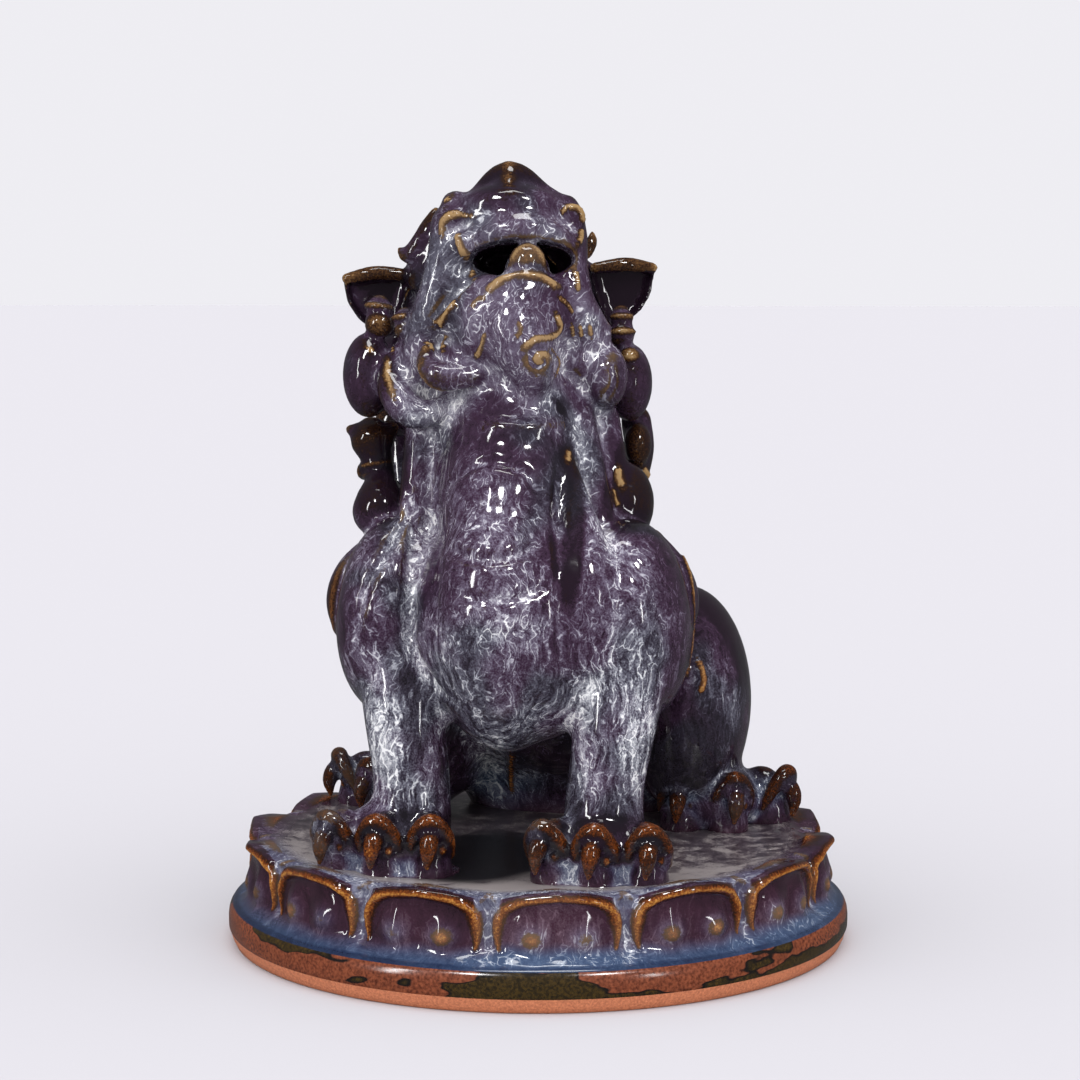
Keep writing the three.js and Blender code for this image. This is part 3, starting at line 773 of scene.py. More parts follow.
# %% Lips, brow and cheeks
def draw_head(skin):
    skin.mark(((-17.5, 82.5), (-12.5, 86.6), (-6, 88), (0, 87.4), (5.4, 84.8)), 2.5, 1.4, thin=1.2,
              milk=0.5)
    skin.mark(((-23, 77), (-20.5, 80), (-17.5, 80.5)), 1.8, 0.7, thin=0.7)
    skin.mark(((6, 81), (9, 78.5), (11, 75.5)), 1.5, 0.6, thin=0.7)
    skin.mark(((-32.5, 101), (-32, 106), (-28.5, 108.4), (-21.5, 107.8)), 2, 1.6, thin=0.6)
    skin.mark(((-32, 112.4), (-29.5, 114)), 2, 0.8, thin=0.7)
    skin.mark(((6.5, 108.6), (9, 110.6), (12.6, 110), (14.4, 106)), 1.9, 1.6, thin=0.65)
    skin.mark(((-27.4, 101.5), (-26.2, 98), (-24.9, 94.6)), 2.1, 2, thin=0.85)
    skin.mark(((13.4, 103.6), (13, 101), (12.4, 98.6)), 1.9, 1.8, thin=0.85)
    skin.mark(((-10.3, 127), (-10.3, 124), (-10.3, 117)), 3.6, 0.3, thin=0.4)
    skin.mark(((-22.8, 90), (-22.3, 87)), 1.6, 1.2, thin=1.1)
    skin.mark(((-22.5, 87), (-28, 82.5), (-36, 73)), 1.8, -1.6)
    skin.mark(((-24, 88), (-29, 83), (-37, 73)), 5, milk=-1.2)
    skin.mark(((11.6, 90), (12.2, 86), (12.4, 83)), 1.5, 1.5, thin=0.85)
    skin.mark(((-34, 71.5), (-31.4, 75), (-27.2, 79.4)), 3, 2, thin=0.75)
    skin.mark(((-32.3, 63), (-30.6, 69)), 1.8, 1.4, thin=0.85)
    skin.mark(((-37.6, 64.2), (-36, 65)), 2.6, 1.0, thin=0.85)
    skin.mark(((-18, 69), (-19, 65), (-21.2, 61)), 1.7, 1.3, thin=0.65)
    skin.mark(((-7.5, 73), (-6.5, 70), (-8, 67)), 1.4, 0.4, thin=0.5)
    skin.mark(((5.2, 75.4), (6.4, 70.8), (3.6, 67.6), (-1.6, 66.8), (-5.4, 64)), 1.7, 1.3, thin=1)
    skin.mark(((4, 63.4), (6.2, 59), (4.6, 54)), 1, 0.8, thin=0.8)
    skin.mark(((7, 57), (11, 54.2), (15, 51)), 1.8, -1.5, milk=-0.6)
    for x in (10.4, 13.2, 16.4):
        skin.mark(((x, 72), (x + 0.6, 67.5)), 1.1, 0.9, thin=0.8)
    skin.mark(((-39.5, 60), (-40, 56), (-36, 51), (-29, 49.6), (-21, 51.4)), 1.7, 0.3, thin=0.45)
    skin.mark(((-50.5, 60), (-50.7, 55), (-48.6, 47)), 1.5, 0.4, thin=0.8)
    skin.mark(((21.5, 47), (24.5, 52), (24, 58)), 1.3, -0.8)
    skin.mark(((-49, 62), (-48.5, 69)), 1.2, 0.7, thin=0.7)
    skin.mark(((-57.6, 64.5), (-55.6, 62.6)), 1.2, 0.5, thin=0.9)
    for x, z, width in ((-54.4, 73, 4.2), (-45, 72, 3.2), (27.4, 71, 3.6), (24.3, 61.5, 2.4),
                        (30, 61.2, 3.2)):
        skin.mark(((x, z + 1), (x, z - 1)), width, thin=0.7, milk=-0.4)
    skin.mark(((-10.5, 91), (-8, 96), (-4.2, 98.4), (-0.2, 96), (2, 91)), 2.4, 0.2, thin=1.1)
    skin.mark(((-4.4, 97), (-4.4, 92.5)), 4, thin=0.75)


draw_head(carved)
print("most amber", carved.thin.max().round(2))

# %% [markdown]
# ## The spiral on the chin
# A ridge of the chin ends in a flat curl. It is a low disc with a spiral groove pressed into it, and
# the groove is worked out from its radius, which grows evenly with the turn.

# %% Spiral and locks
SPIRAL_AT, SPIRAL_TURN, SPIRAL_STEPS = (0, 60), 2.4 * math.pi, 12
SPIRAL_START, SPIRAL_GROWTH, SPIRAL_ANGLE = 0.4, 0.62, 1.1


def draw_spiral(skin):
    """A flat curl: an amber disc with a spiral groove, where the ridge of the chin ends."""
    x, z = SPIRAL_AT
    skin.mark(((x - 0.4, z), (x + 0.4, z)), 4.6, 2.2, thin=2.4, milk=0.5)
    groove = []
    for turned in np.linspace(0, SPIRAL_TURN, SPIRAL_STEPS):
        radius, angle = SPIRAL_START + SPIRAL_GROWTH * turned, SPIRAL_ANGLE - turned
        groove.append((x + radius * math.cos(angle), z + radius * math.sin(angle)))
    skin.mark(groove, 0.9, -1.5, thin=-2.2)


def draw_locks(skin):
    skin.mark(((9.6, 30), (9.2, 26)), 1.6, 0.5, thin=0.9)
    skin.mark(((26, 24), (26.2, 20.6), (27.4, 17.6)), 2, 1.2, thin=0.9)
    skin.mark(((24, 17), (24.4, 14), (25.6, 11)), 1.9, 1.2, thin=0.9)
    skin.mark(((34, 24), (36.4, 21)), 2, 1, thin=0.8)
    skin.mark(((-45.5, 10), (-46.2, 6.5), (-48.4, 2.6)), 1.4, 0.5, thin=0.7)
    skin.mark(((52.5, -40), (54.2, -46), (53.4, -51)), 2.1, 1.8, thin=0.4)
    skin.mark(((-9.3, -71), (-9.4, -77), (-9.2, -84)), 1.9, 1.2, thin=0.4)
    skin.mark(((-18, -88), (-8, -86)), 7, thin=0.55)


draw_spiral(carved)
draw_locks(carved)
print("vertices with amber", int((carved.thin > 0.5).sum()))

# %% [markdown]
# ## Milk, clear glaze and painted shade
# Pale strands gather in broad soft areas: the cheeks, the throat, the flanks of the chest and the legs.
# They are washed on with wide marks that don't move the skin. Elsewhere the glaze stayed clear and
# dark: in the ears, on the fat lobes of the ruff and on the haunch. Inside the mouth and on the throat
# under the chin, milk is taken away as painted shade. Painted weights would do it too, but marks on the
# glass can be read and changed.

# %% Milk and clear glaze
def wash_milk(skin):
    """Broad soft washes where the pale strands gather: cheeks, throat, flanks of the chest and legs."""
    for stops, width, milk in (
        (((-22, 100), (-8, 104), (6, 100)), 6, 0.55),
        (((-33, 100), (-36, 84), (-42, 66), (-42, 50)), 5, 0.7),
        (((12, 92), (14, 78), (20, 66)), 4, 0.6),
        (((-30, 92), (-33, 84)), 4, 0.6),
        (((-32, 57), (-24, 56.5), (-14, 58)), 2.5, 0.5),
        (((-48, 50), (-42, 44), (-33, 43), (-24, 46)), 5.5, 0.95),
        (((-18, 38), (-6, 34), (6, 37)), 5, 0.25),
        (((-42, 36), (-40, 10), (-40, -14)), 5, 0.5),
        (((13, 36), (17, 12), (25, -6)), 6, 0.7),
        (((-36, -34), (-22, -56), (-8, -60), (10, -56), (34, -46)), 13, 0.75),
        (((-22, 14), (-14, -8), (-8, -34)), 19, 0.6),
        (((16, 4), (22, -24), (24, -48)), 14, 0.5),
        (((-15, 80), (-8, 70), (-2, 60)), 16, 0.75),
        (((30, -10), (38, -30)), 9, 0.6),
        (((-44.5, 12), (-47, 2), (-52, -8)), 4, 1.1),
        (((-52, -20), (-54, -50)), 7, 0.45),
        (((-54, -60), (-52, -77)), 9, 1.15),
        (((-36, -62), (-38, -80)), 6, 0.6),
        (((14, -60), (16, -80)), 8, 1.05),
        (((33, -56), (33, -80)), 10, 1.1),
        (((20, 64), (26, 50)), 6, 0.35),
        (((-58, 50), (-54, 44)), 6, 0.3),
        (((-14.5, -64), (-15, -86)), 6, 0.9),
        (((-4, -78), (-12, -88)), 7, 0.6),
    ):
        skin.mark(stops, width, milk=milk)


# Ovals on the glass: middle, half sizes, farthest, nearest, and how much milk is taken away.
CLEAR_AND_SHADE_SPOTS = (
    # Painted shade: the dark inside of the mouth.
    (-5.8, 94, 19, 8.5, -50, 31, 2.4),
    (-54, 81, 13, 14, -9, 9, 1.0),
    (29, 82, 14, 14, -9, 9, 1.0),
    (-58, 56, 11, 14, 5, 40, 0.45),
    (31, 52, 8, 13, -5, 40, 0.3),
    (-54, 25, 12, 24, -10, 30, 0.6),
    (32, 20, 9, 20, -10, 30, 0.4),
    (62, -34, 20, 50, -90, -12, 0.3),
    (-10, 124, 18, 10, 0, 60, 0.4),
    # Painted shade on the throat under the chin, in this oval and the next.
    (-5, 42.5, 15, 8.5, 0, 40, 1.6),
    (-6, 30, 17, 9, 0, 60, 0.3),
    (-44, -98.5, 30, 9.5, 30, 80, 0.9),
    (24, -100, 27, 9.5, 30, 80, 0.8),
    (-54, 88, 14, 5, -9, 18, 1.0),
    (29, 89, 14, 5, -9, 18, 1.0),
    (9, 6, 7, 30, 20, 80, 0.85),
    (28.4, 12.4, 9.5, 13, 15, 60, 0.6),
    (-13, 16, 15, 13, 20, 80, 0.2),
)
CLEAR_EDGE = 0.25
# On the glass the ears lie outside the first pair in x and between the second pair in z. They are
# within EARS_NEAR of the plane of the aim.
EARS_OUTSIDE, EARS_BETWEEN, EARS_NEAR = (-45, 16), (62, 89.5), 9
FOOT_HEIGHT = 2.6


def clear_and_shade(skin):
    """The glaze is clear in the ears, on fat lobes and the haunch; mouth and throat get painted shade."""
    x, z, near = on_glass(skin.places)
    for middle_x, middle_z, half_x, half_z, farthest, nearest, amount in CLEAR_AND_SHADE_SPOTS:
        across = np.hypot((x - middle_x) / half_x, (z - middle_z) / half_z)
        here = (near > farthest) & (near < nearest)
        skin.milk -= amount * np.clip((1 - across) / CLEAR_EDGE, 0, 1) * here
    ears = ((x < EARS_OUTSIDE[0]) | (x > EARS_OUTSIDE[1])) & (abs(near) < EARS_NEAR)
    ears &= (z > EARS_BETWEEN[0]) & (z < EARS_BETWEEN[1])
    skin.thin[ears] = -1
    skin.thin[skin.places[:, 2] < DISH_HEIGHT + FOOT_HEIGHT] = -1


wash_milk(carved)
clear_and_shade(carved)
carved.save()
print("vertices with milk", int((carved.milk > 0.3).sum()))

# %% [markdown]
# ## Where the glaze is thin and where it pools
# A running glaze leaves edges and fills hollows. The shader can't know them, so they are measured: the
# skin is smoothed a little and compared with itself. A vertex that sticks out of its smoothed self is
# on an edge, and one that lies under it is in a hollow. The drawn marks are added, and both amounts are
# kept on the vertices as attributes.

# %% Measure edges and hollows
EDGE_ROUNDS, HOLLOW_ROUNDS = 6, 60
EDGE_HEIGHT, HOLLOW_DEPTH = 0.2, 0.75
MOST_THIN = 1.2


def sponged(places, edges, rounds):
    ends = np.concatenate([edges, edges[:, ::-1]])
    count = np.bincount(ends[:, 0], minlength=len(places))[:, None]
    for _ in range(rounds):
        sums = [np.bincount(ends[:, 0], places[ends[:, 1], k], len(places)) for k in range(3)]
        places = (places + np.stack(sums, 1) / count) / 2
    return places


def keep_amount(mesh, name, amounts):
    mesh.attributes.new(name, "FLOAT", "POINT").data.foreach_set("value", amounts.astype(np.float32))


def measure(carved):
    mesh = carved.mesh
    edges = np.empty(len(mesh.edges) * 2, int)
    mesh.edges.foreach_get("vertices", edges)
    edges = edges.reshape(-1, 2)
    normals = vertex_normals(mesh)
    fine = sponged(carved.places, edges, EDGE_ROUNDS)
    proud = ((carved.places - fine) * normals).sum(1)
    broad = sponged(fine, edges, HOLLOW_ROUNDS)
    sunk = ((broad - fine) * normals).sum(1)
    thin = np.clip(proud / EDGE_HEIGHT, 0, MOST_THIN) + carved.thin
    keep_amount(mesh, "thin", thin)
    keep_amount(mesh, "pool", np.clip(sunk / HOLLOW_DEPTH, 0, 1) + carved.milk)
    print("share of edges", (thin > 0.5).mean().round(3), "deepest hollow", sunk.max().round(1), "mm")


measure(carved)

# %% [markdown]
# ## Thin out the net
# The net is as fine on the plain flanks as on the claws, and there it adds nothing to the shape. The
# Decimate modifier joins triangles where the skin is flat. The shading keeps the normals of the fine
# skin, so the highlights stay smooth.

# %% Thin out the net
TRIANGLES = 196_000


def thinned(mesh):
    """Fewer triangles where the skin is flat, and for each vertex left the normal of the fine skin."""
    fine = bpy.data.objects.new("fine", mesh)
    bpy.context.scene.collection.objects.link(fine)
    tree = BVHTree.FromObject(fine, bpy.context.evaluated_depsgraph_get())
    corners = np.empty(len(mesh.polygons) * 4, int)
    mesh.loops.foreach_get("vertex_index", corners)
    face_normals = vertex_normals(mesh)[corners.reshape(-1, 4)].mean(1)
    coarse = fine.modifiers.new("coarse", "DECIMATE")
    coarse.ratio = TRIANGLES / (2 * len(mesh.polygons))
    coarse.use_collapse_triangulate = True
    thin = with_modifiers(fine)
    return thin, [face_normals[tree.find_nearest(vert.co)[2]] for vert in thin.vertices]


skin, smooth_normals = thinned(carved.mesh)
print("lion of", len(skin.polygons), "triangles, with", skin.attributes["thin"].name, "and",
      skin.attributes["pool"].name)

# %% [markdown]
# ## The profile of the lotus base
# The base is turned and then pressed into a ring of fourteen petals. Each petal is a low pillow with a
# proud rim that runs up one side, over the tip and down the other. Its profile changes from the middle
# of a petal, where it bulges, to the gap between two, where it lies back, so a few profiles are given
# by radius and height and the rest lie on a smooth surface through them.

# %% Petal profiles
PETALS = 14
PETAL_PHASE = 15.55
PETAL_PITCH = 360 / PETALS
PETAL_COLUMNS = (0, 0.36, 0.66, 0.86, 1)
PETAL_ROWS = (
    ((96.4, 13.6), (96.4, 13.6), (96.2, 13.6), (96, 13.6), (95.8, 13.6)),
    ((93.4, 16.5), (94.4, 16.3), (92.8, 16.8), (91.8, 17), (90.5, 17)),
    ((92.6, 20.5), (95.2, 20.4), (92.4, 21), (91.2, 21.4), (89.8, 21)),
    ((92.4, 25), (93.8, 25), (92.2, 25), (91.2, 25), (89.2, 25)),
    ((92.6, 29), (92.8, 28.6), (91.8, 28), (90.6, 28), (88.8, 27.6)),
    ((94.4, 32.2), (93.4, 31.8), (92.6, 31), (90.4, 30.6), (88.2, 30.2)),
    ((94.2, 34.6), (92.8, 33.8), (91.8, 32.8), (90.2, 32.2), (87.6, 31.4)),
    ((85, 33), (85, 32.7), (85, 32.4), (84.5, 32.2), (84, 32)),
    ((68, 31), (68, 31), (68, 31), (68, 31), (68, 31)),
)
CLAY_TOP, BAND_TOP = 4.6, 12.3
BELOW = ((0, 4), (60, 4), (85.5, 4), (86.5, 3.4), (87, 0.6), (87.6, 0), (97.2, 0), (98, 0.5), (98.9, 2.4),
         (99.4, 4.2), (99.55, CLAY_TOP), (99.85, 5.2), (99.9, 6.8), (99.9, 8.4), (99.7, 10), (99.3, 11.2),
         (98.6, BAND_TOP), (97.4, 13.1))
DISH_MIDDLE = ((45, 31), (0, 31))
ROWS_BETWEEN = 7
PETAL_U = np.linspace(0, 1, 41)
# A moving mean softens the corners between the given columns.
SOFT_U = np.linspace(-0.2, 1.2, 281)
SOFT_REACH = 12
SOFTENER = np.hanning(2 * SOFT_REACH + 1) / np.hanning(2 * SOFT_REACH + 1).sum()


def between(rows, count):
    """Rows of values, with `count` for each one given, on a smooth curve through them."""
    shape = np.array(rows, float)
    flat = shape.reshape(len(shape), -1)
    steps = count * (len(rows) - 1)
    finer = np.array([smooth_way(flat, i / steps)[0] for i in range(steps + 1)])
    return finer.reshape(steps + 1, *shape.shape[1:])


def petal_table():
    """Radius and height of each fine row, as given and at even steps of u.

    u is 0 in the middle of a petal and 1 between two.
    """
    rows = between(PETAL_ROWS, ROWS_BETWEEN)
    given = np.array(PETAL_COLUMNS)
    mirrored = np.concatenate([-given[:0:-1], given, 2 - given[-2::-1]])
    table = np.empty((len(rows), len(PETAL_U), 2))
    for k in (0, 1):
        for i, row in enumerate(rows[:, :, k]):
            values = np.concatenate([row[:0:-1], row, row[-2::-1]])
            soft = np.interp(SOFT_U, mirrored, values)
            soft = np.convolve(np.pad(soft, SOFT_REACH, "edge"), SOFTENER, "valid")
            table[i, :, k] = np.interp(PETAL_U, SOFT_U, soft)
    return rows, table


petal_rows, petal_shape = petal_table()
print("petal profile of", len(petal_rows), "rows")

# %% [markdown]
# ## Turn it on the wheel
# A plain profile is spun through one petal with bmesh, and the wedge is copied round fourteen times. A
# full spin would do as well, but with copies every petal is the same to the last vertex. The rings are
# then moved to the petal's own profile at their angle.

# %% Lotus base
PETAL_STEPS = 64
WELD = 1e-3


def petal_turn(places):
    """How many petals round the axis each place lies."""
    angle = np.degrees(np.arctan2(places[:, 0], -places[:, 1])) - PETAL_PHASE
    return angle / PETAL_PITCH + 0.5


def petal_u(places):
    """Across each petal from -1 to 1."""
    return petal_turn(places) % 1 * 2 - 1


def lotus_base(rows, table):
    """The plain profile spun through one petal, copied round and moved to the petals' shape."""
    wedge = bmesh.new()
    verts = [wedge.verts.new((0, -r, z)) for r, z in (*BELOW, *rows[:, 0], *DISH_MIDDLE)]
    edges = [wedge.edges.new(two) for two in zip(verts, verts[1:])]
    pitch = 2 * math.pi / PETALS
    bmesh.ops.spin(wedge, geom=verts + edges, cent=(0, 0, 0), axis=(0, 0, 1), angle=pitch,
                   steps=PETAL_STEPS)
    mesh = bpy.data.meshes.new("lotus_base")
    wedge.to_mesh(mesh)
    wedge.free()
    bm = bmesh.new()
    for _ in range(PETALS):
        bmesh.ops.rotate(bm, verts=bm.verts, cent=(0, 0, 0), matrix=Matrix.Rotation(pitch, 3, "Z"))
        bm.from_mesh(mesh)
    bmesh.ops.remove_doubles(bm, verts=bm.verts, dist=WELD)
    bmesh.ops.recalc_face_normals(bm, faces=bm.faces)
    bm.to_mesh(mesh)
    bm.free()
    places = vertex_places(mesh)
    radius = np.hypot(places[:, 0], places[:, 1])
    u = abs(petal_u(places))
    for (r, z), shape in zip(rows[:, 0], table):
        ring = (abs(radius - r) < 2 * WELD) & (abs(places[:, 2] - z) < 2 * WELD)
        places[ring, :2] *= (np.interp(u[ring], PETAL_U, shape[:, 0]) / radius[ring])[:, None]
        places[ring, 2] = np.interp(u[ring], PETAL_U, shape[:, 1])
    mesh.vertices.foreach_set("co", places.ravel())
    mesh.update()
    return mesh


petals = Skin(lotus_base(petal_rows, petal_shape))
print("lotus base of", len(petals.mesh.polygons), "quads")

# %% [markdown]
# ## Rims and spots
# The rim of a petal is drawn on as the marks of the lion are, but in the petal's own measure, so one
# line serves all fourteen. Two small spots on each petal show amber, some more than others, so their
# strength is left to chance. Milk lies in the gaps between petals and along their foot.

# %% Rims and spots
LUCK = np.random.default_rng(14)
RIM_LINE = ((0.83, 17, 0.7), (0.85, 20, 1.4), (0.84, 24.4, 2.1), (0.76, 28.6, 2), (0.55, 31.2, 1.5),
            (0.28, 32.3, 1.3), (0, 33, 1.2))
TIP_LINE = ((0.9, 30.8, 1.2), (0.95, 31.7, 1.3), (1, 32, 1.3))
SPOT_U, SPOT_Z, SPOT_SIZE = 0.37, 20.6, 4.0
U_LENGTH = math.pi * 93 / PETALS
# How proud a line stands for its width, and how amber it is.
RIM_PROUD, TIP_PROUD = (0.88, 1.45), (0.48, 0.9)
PETAL_INNER, PETAL_FOOT = 86, 13.2
LEAST_SPOT, SPOT_AMBER, SPOT_MILK = 0.3, 1.9, 0.8
GAP_WIDTH, GAP_MILK = 0.13, 0.9
LOW_TOP, LOW_FADE, LOW_MILK = 18.5, 3, 0.45
DISH_INNER, DISH_OUTER, DISH_LOW, FRONT_FADE = 60, 91, 28, 60


def draw_petals(skin):
    """Rims, grooves and the two spots of each petal, drawn on all fourteen at once."""
    radius = np.hypot(skin.places[:, 0], skin.places[:, 1])
    outer = np.flatnonzero((radius > PETAL_INNER) & (skin.places[:, 2] > PETAL_FOOT))
    places = skin.places[outer]
    z = places[:, 2]
    signed = petal_u(places)
    u = abs(signed)
    number = np.floor(petal_turn(places)).astype(int) % PETALS
    luck = LUCK.uniform(LEAST_SPOT, 1.0, (PETALS, 2))[number, (signed > 0).astype(int)]
    thin, height = np.zeros(len(outer)), np.zeros(len(outer))
    for line, proud, amber in ((RIM_LINE, *RIM_PROUD), (TIP_LINE, *TIP_PROUD)):
        way = np.array([smooth_way(line, t)[0] for t in np.linspace(0, 1, 60)])
        gaps = np.hypot((u[:, None] - way[:, 0]) * U_LENGTH, z[:, None] - way[:, 1])
        width = way[gaps.argmin(1), 2]
        across = gaps.min(1) / width
        ridge = np.exp(-1.5 * across**2) - 0.3 * np.exp(-3 * (across - 1.7)**2)
        height += ridge * proud * width
        thin = np.maximum(thin, np.exp(-0.9 * across**2) * amber)
    spot_gap = np.hypot((u - SPOT_U) * U_LENGTH, (z - SPOT_Z) * 1.2) / SPOT_SIZE
    thin = np.maximum(thin, np.exp(-1.6 * spot_gap**2) * SPOT_AMBER * luck)
    skin.places[outer] += skin.normals[outer] * height[:, None]
    skin.thin[outer] = thin
    gap_milk = np.exp(-((u - 1) / GAP_WIDTH)**2) * GAP_MILK
    low_milk = np.clip((LOW_TOP - z) / LOW_FADE, 0, 1) * LOW_MILK
    skin.milk[outer] = np.maximum(gap_milk, low_milk) + SPOT_MILK * np.exp(-spot_gap**2)
    dish = (radius > DISH_INNER) & (radius < DISH_OUTER) & (skin.places[:, 2] > DISH_LOW)
    skin.milk[dish] = np.maximum(skin.milk[dish], np.clip(-skin.places[dish, 1] / FRONT_FADE, 0, 1))


draw_petals(petals)
petals.save()
keep_amount(petals.mesh, "thin", petals.thin)
keep_amount(petals.mesh, "pool", petals.milk)
print("rims raised to", petals.places[:, 2].max().round(1), "mm")

# %% [markdown]
# ## Two pieces
# Lion and base are one fired piece, but two meshes serve better here: the base keeps its clean quads,
# and the lion its fused net. Both get real size in metres, smooth shading, and the part's body.

# %% Pieces
def finish_piece(mesh, name):
    """Turns a mesh from millimetres into metres and makes it a piece of the figure."""
    mesh.transform(Matrix.Scale(MM, 4))
    mesh.polygons.foreach_set("use_smooth", [True] * len(mesh.polygons))
    mesh.name = name
    piece = bpy.data.objects.new(name, mesh)
    bpy.context.scene.collection.objects.link(piece)
    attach(piece, "root")
    return piece


lion = finish_piece(skin, "lion")
skin.normals_split_custom_set_from_vertices(smooth_normals)
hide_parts(LION_NODE)
base = finish_piece(petals.mesh, "lotus_base")
print("lion", [round(v / MM) for v in lion.dimensions], "base", [round(v / MM) for v in base.dimensions])

# %% [markdown]
# ## Colour and nodes
# Colours are written as sRGB hex and turned to linear by one function. One small function adds a node
# with its settings and links, and gives back the socket that comes out of it. A material could be put
# together in the node editor, but a script can be read from top to bottom.

# %% Helpers for materials
def colour(code):
    """A linear colour from an sRGB hex code."""
    parts = [int(code[i:i + 2], 16) / 255 for i in (1, 3, 5)]
    return (*(c / 12.92 if c <= 0.04045 else ((c + 0.055) / 1.055)**2.4 for c in parts), 1)


def add(tree, kind, inputs=(), out=0, stops=(), **settings):
    """Adds a node: values or links for its sockets, stops for a ramp, and its own options."""
    made = tree.nodes.new("ShaderNode" + kind)
    for name, value in settings.items():
        setattr(made, name, value)
    for socket, value in dict(inputs).items():
        if isinstance(value, bpy.types.NodeSocket):
            tree.links.new(value, made.inputs[socket])
        else:
            made.inputs[socket].default_value = value
    for i, (place, code) in enumerate(stops):
        stop = made.color_ramp.elements[i] if i < 2 else made.color_ramp.elements.new(place)
        stop.position, stop.color = place, colour(code)
    return made.outputs[out]


def start(name):
    """A new material with its tree and shader, and the place of each point in millimetres."""
    material = bpy.data.materials.new(name)
    material.use_nodes = True
    tree = material.node_tree
    spot_at = add(tree, "TexCoord", out="Object")
    place = add(tree, "VectorMath", {0: spot_at, "Scale": MILLIMETRES}, operation="SCALE")
    return material, tree, tree.nodes["Principled BSDF"], place


SMOOTH = {"interpolation_type": "SMOOTHSTEP"}
MIX = {"data_type": "RGBA"}
MILLIMETRES = 1000
print("middle grey in linear:", [round(part, 3) for part in colour("#808080")[:3]])

# %% [markdown]
# ## The flambe glaze
# Flambe is a copper glaze that turned plum in the fire. Milky strands float in it and run down like
# fur. They close to a net of fine threads on the chest and legs, and to a grey milk in the hollows. On
# edges the glaze runs thin and the iron in it shows amber. It is as glossy as glass. A picture could be
# wrapped round it, but a procedural glaze flows over every side without a seam. It is built in steps,
# and each step has a cell.
#
# The first step reads the two amounts from the skin. Milk is what the hollows hold, and a cloudy noise
# that changes over 33 mm, so that no two flanks are alike. The grain is the mottle of the real glaze.
# That is finer than 0.1 mm in places, which no pixel can show, so it is drawn at 0.6 mm.

# %% Start of the glaze
CLOUDS_PER_MM, GRAINS_PER_MM = 0.03, 1.7

flambe, tree, shader, place = start("plum flambe glaze on stoneware")
thin = add(tree, "Attribute", out="Fac", attribute_name="thin")
pool = add(tree, "Attribute", out="Fac", attribute_name="pool")
dry = add(tree, "Attribute", out="Fac", attribute_name="dry")
height = add(tree, "SeparateXYZ", {"Vector": place}, out="Z")
cloud = add(tree, "TexNoise", {"Vector": place, "Scale": CLOUDS_PER_MM, "Detail": 2.0, "Roughness": 0.6})
cloudy = add(tree, "MapRange", {0: cloud, 1: 0.38, 2: 0.68, 3: 0.0, 4: 0.38}, **SMOOTH)
milk = add(tree, "Math", {0: pool, 1: 0.75, 2: cloudy}, operation="MULTIPLY_ADD")
milk = add(tree, "Math", {0: milk, 1: -0.5}, operation="MAXIMUM")
grain = add(tree, "TexNoise", {"Vector": place, "Scale": GRAINS_PER_MM, "Detail": 2.0, "Roughness": 0.7})
print("glaze started with", len(tree.nodes), "nodes")

# %% [markdown]
# ## The way the glaze ran
# A melted glaze creeps downhill and takes its pattern with it. So the place of each point is bent by
# two noises, a slow one of 20 mm and a quick one of 2.4 mm, and then drawn out along the height. Every
# pattern that reads the bent place looks as if it had flowed. On the head, above HEAD_START, streaks
# are drawn out less, because the real ones curl there.

# %% Bent and drawn-out places
BEND, BENDS_PER_MM = 16.0, 0.05
RIPPLE, RIPPLES_PER_MM = 2.4, 0.42
RUN_STRETCH, STREAK_STRETCH = 0.45, 0.2
HEAD_START, HEAD_STRETCH = 105.0, 0.3


def ways_it_ran(tree, place, height):
    """The bent place, the same drawn out for threads, and drawn out further for streaks."""
    slow = add(tree, "TexNoise", {"Vector": place, "Scale": BENDS_PER_MM, "Detail": 2.0}, out="Color")
    bent = add(tree, "VectorMath", {0: slow, 1: (BEND,) * 3, 2: place}, operation="MULTIPLY_ADD")
    quick = add(tree, "TexNoise", {"Vector": bent, "Scale": RIPPLES_PER_MM, "Detail": 2.0}, out="Color")
    rippled = add(tree, "VectorMath", {0: quick, 1: (RIPPLE,) * 3, 2: bent}, operation="MULTIPLY_ADD")
    for_threads = add(tree, "VectorMath", {0: rippled, 1: (1, 1, RUN_STRETCH)}, operation="MULTIPLY")
    for_streaks = add(tree, "VectorMath", {0: rippled, 1: (1, 1, STREAK_STRETCH)}, operation="MULTIPLY")
    above = add(tree, "Math", {0: height, 1: HEAD_START}, operation="SUBTRACT")
    above = add(tree, "Math", {0: above, 1: 0.0}, operation="MAXIMUM")
    above = add(tree, "Math", {0: above, 1: HEAD_STRETCH}, operation="MULTIPLY")
    above = add(tree, "CombineXYZ", {"Z": above})
    for_streaks = add(tree, "VectorMath", {0: for_streaks, 1: above}, operation="ADD")
    return bent, for_threads, for_streaks


bent, for_threads, for_streaks = ways_it_ran(tree, place, height)
print("places bent, now", len(tree.nodes), "nodes")

# %% [markdown]
# ## Streaks, strands and threads
# Three patterns share the skin. Streaks are a noise drawn out to hairs. Strands are the level lines of
# a broader noise, found with a sine, so they run side by side like the grain of wood. Threads are the
# edges of cells, and close to a net. A patchy noise of 10 mm gives each part of the skin either strands
# or threads, and the streaks break them up. Real threads are under 0.1 mm in places. Here a cell is
# 2.7 mm wide and its thread 0.4 mm, little more than a pixel of the picture.

# %% Streaks, strands and threads
STREAKS_PER_MM, STRANDS_PER_MM, CELLS_PER_MM, PATCHES_PER_MM = 0.42, 0.2, 0.37, 0.1
LEVELS = 60.0
THREAD_WIDTH = 0.08


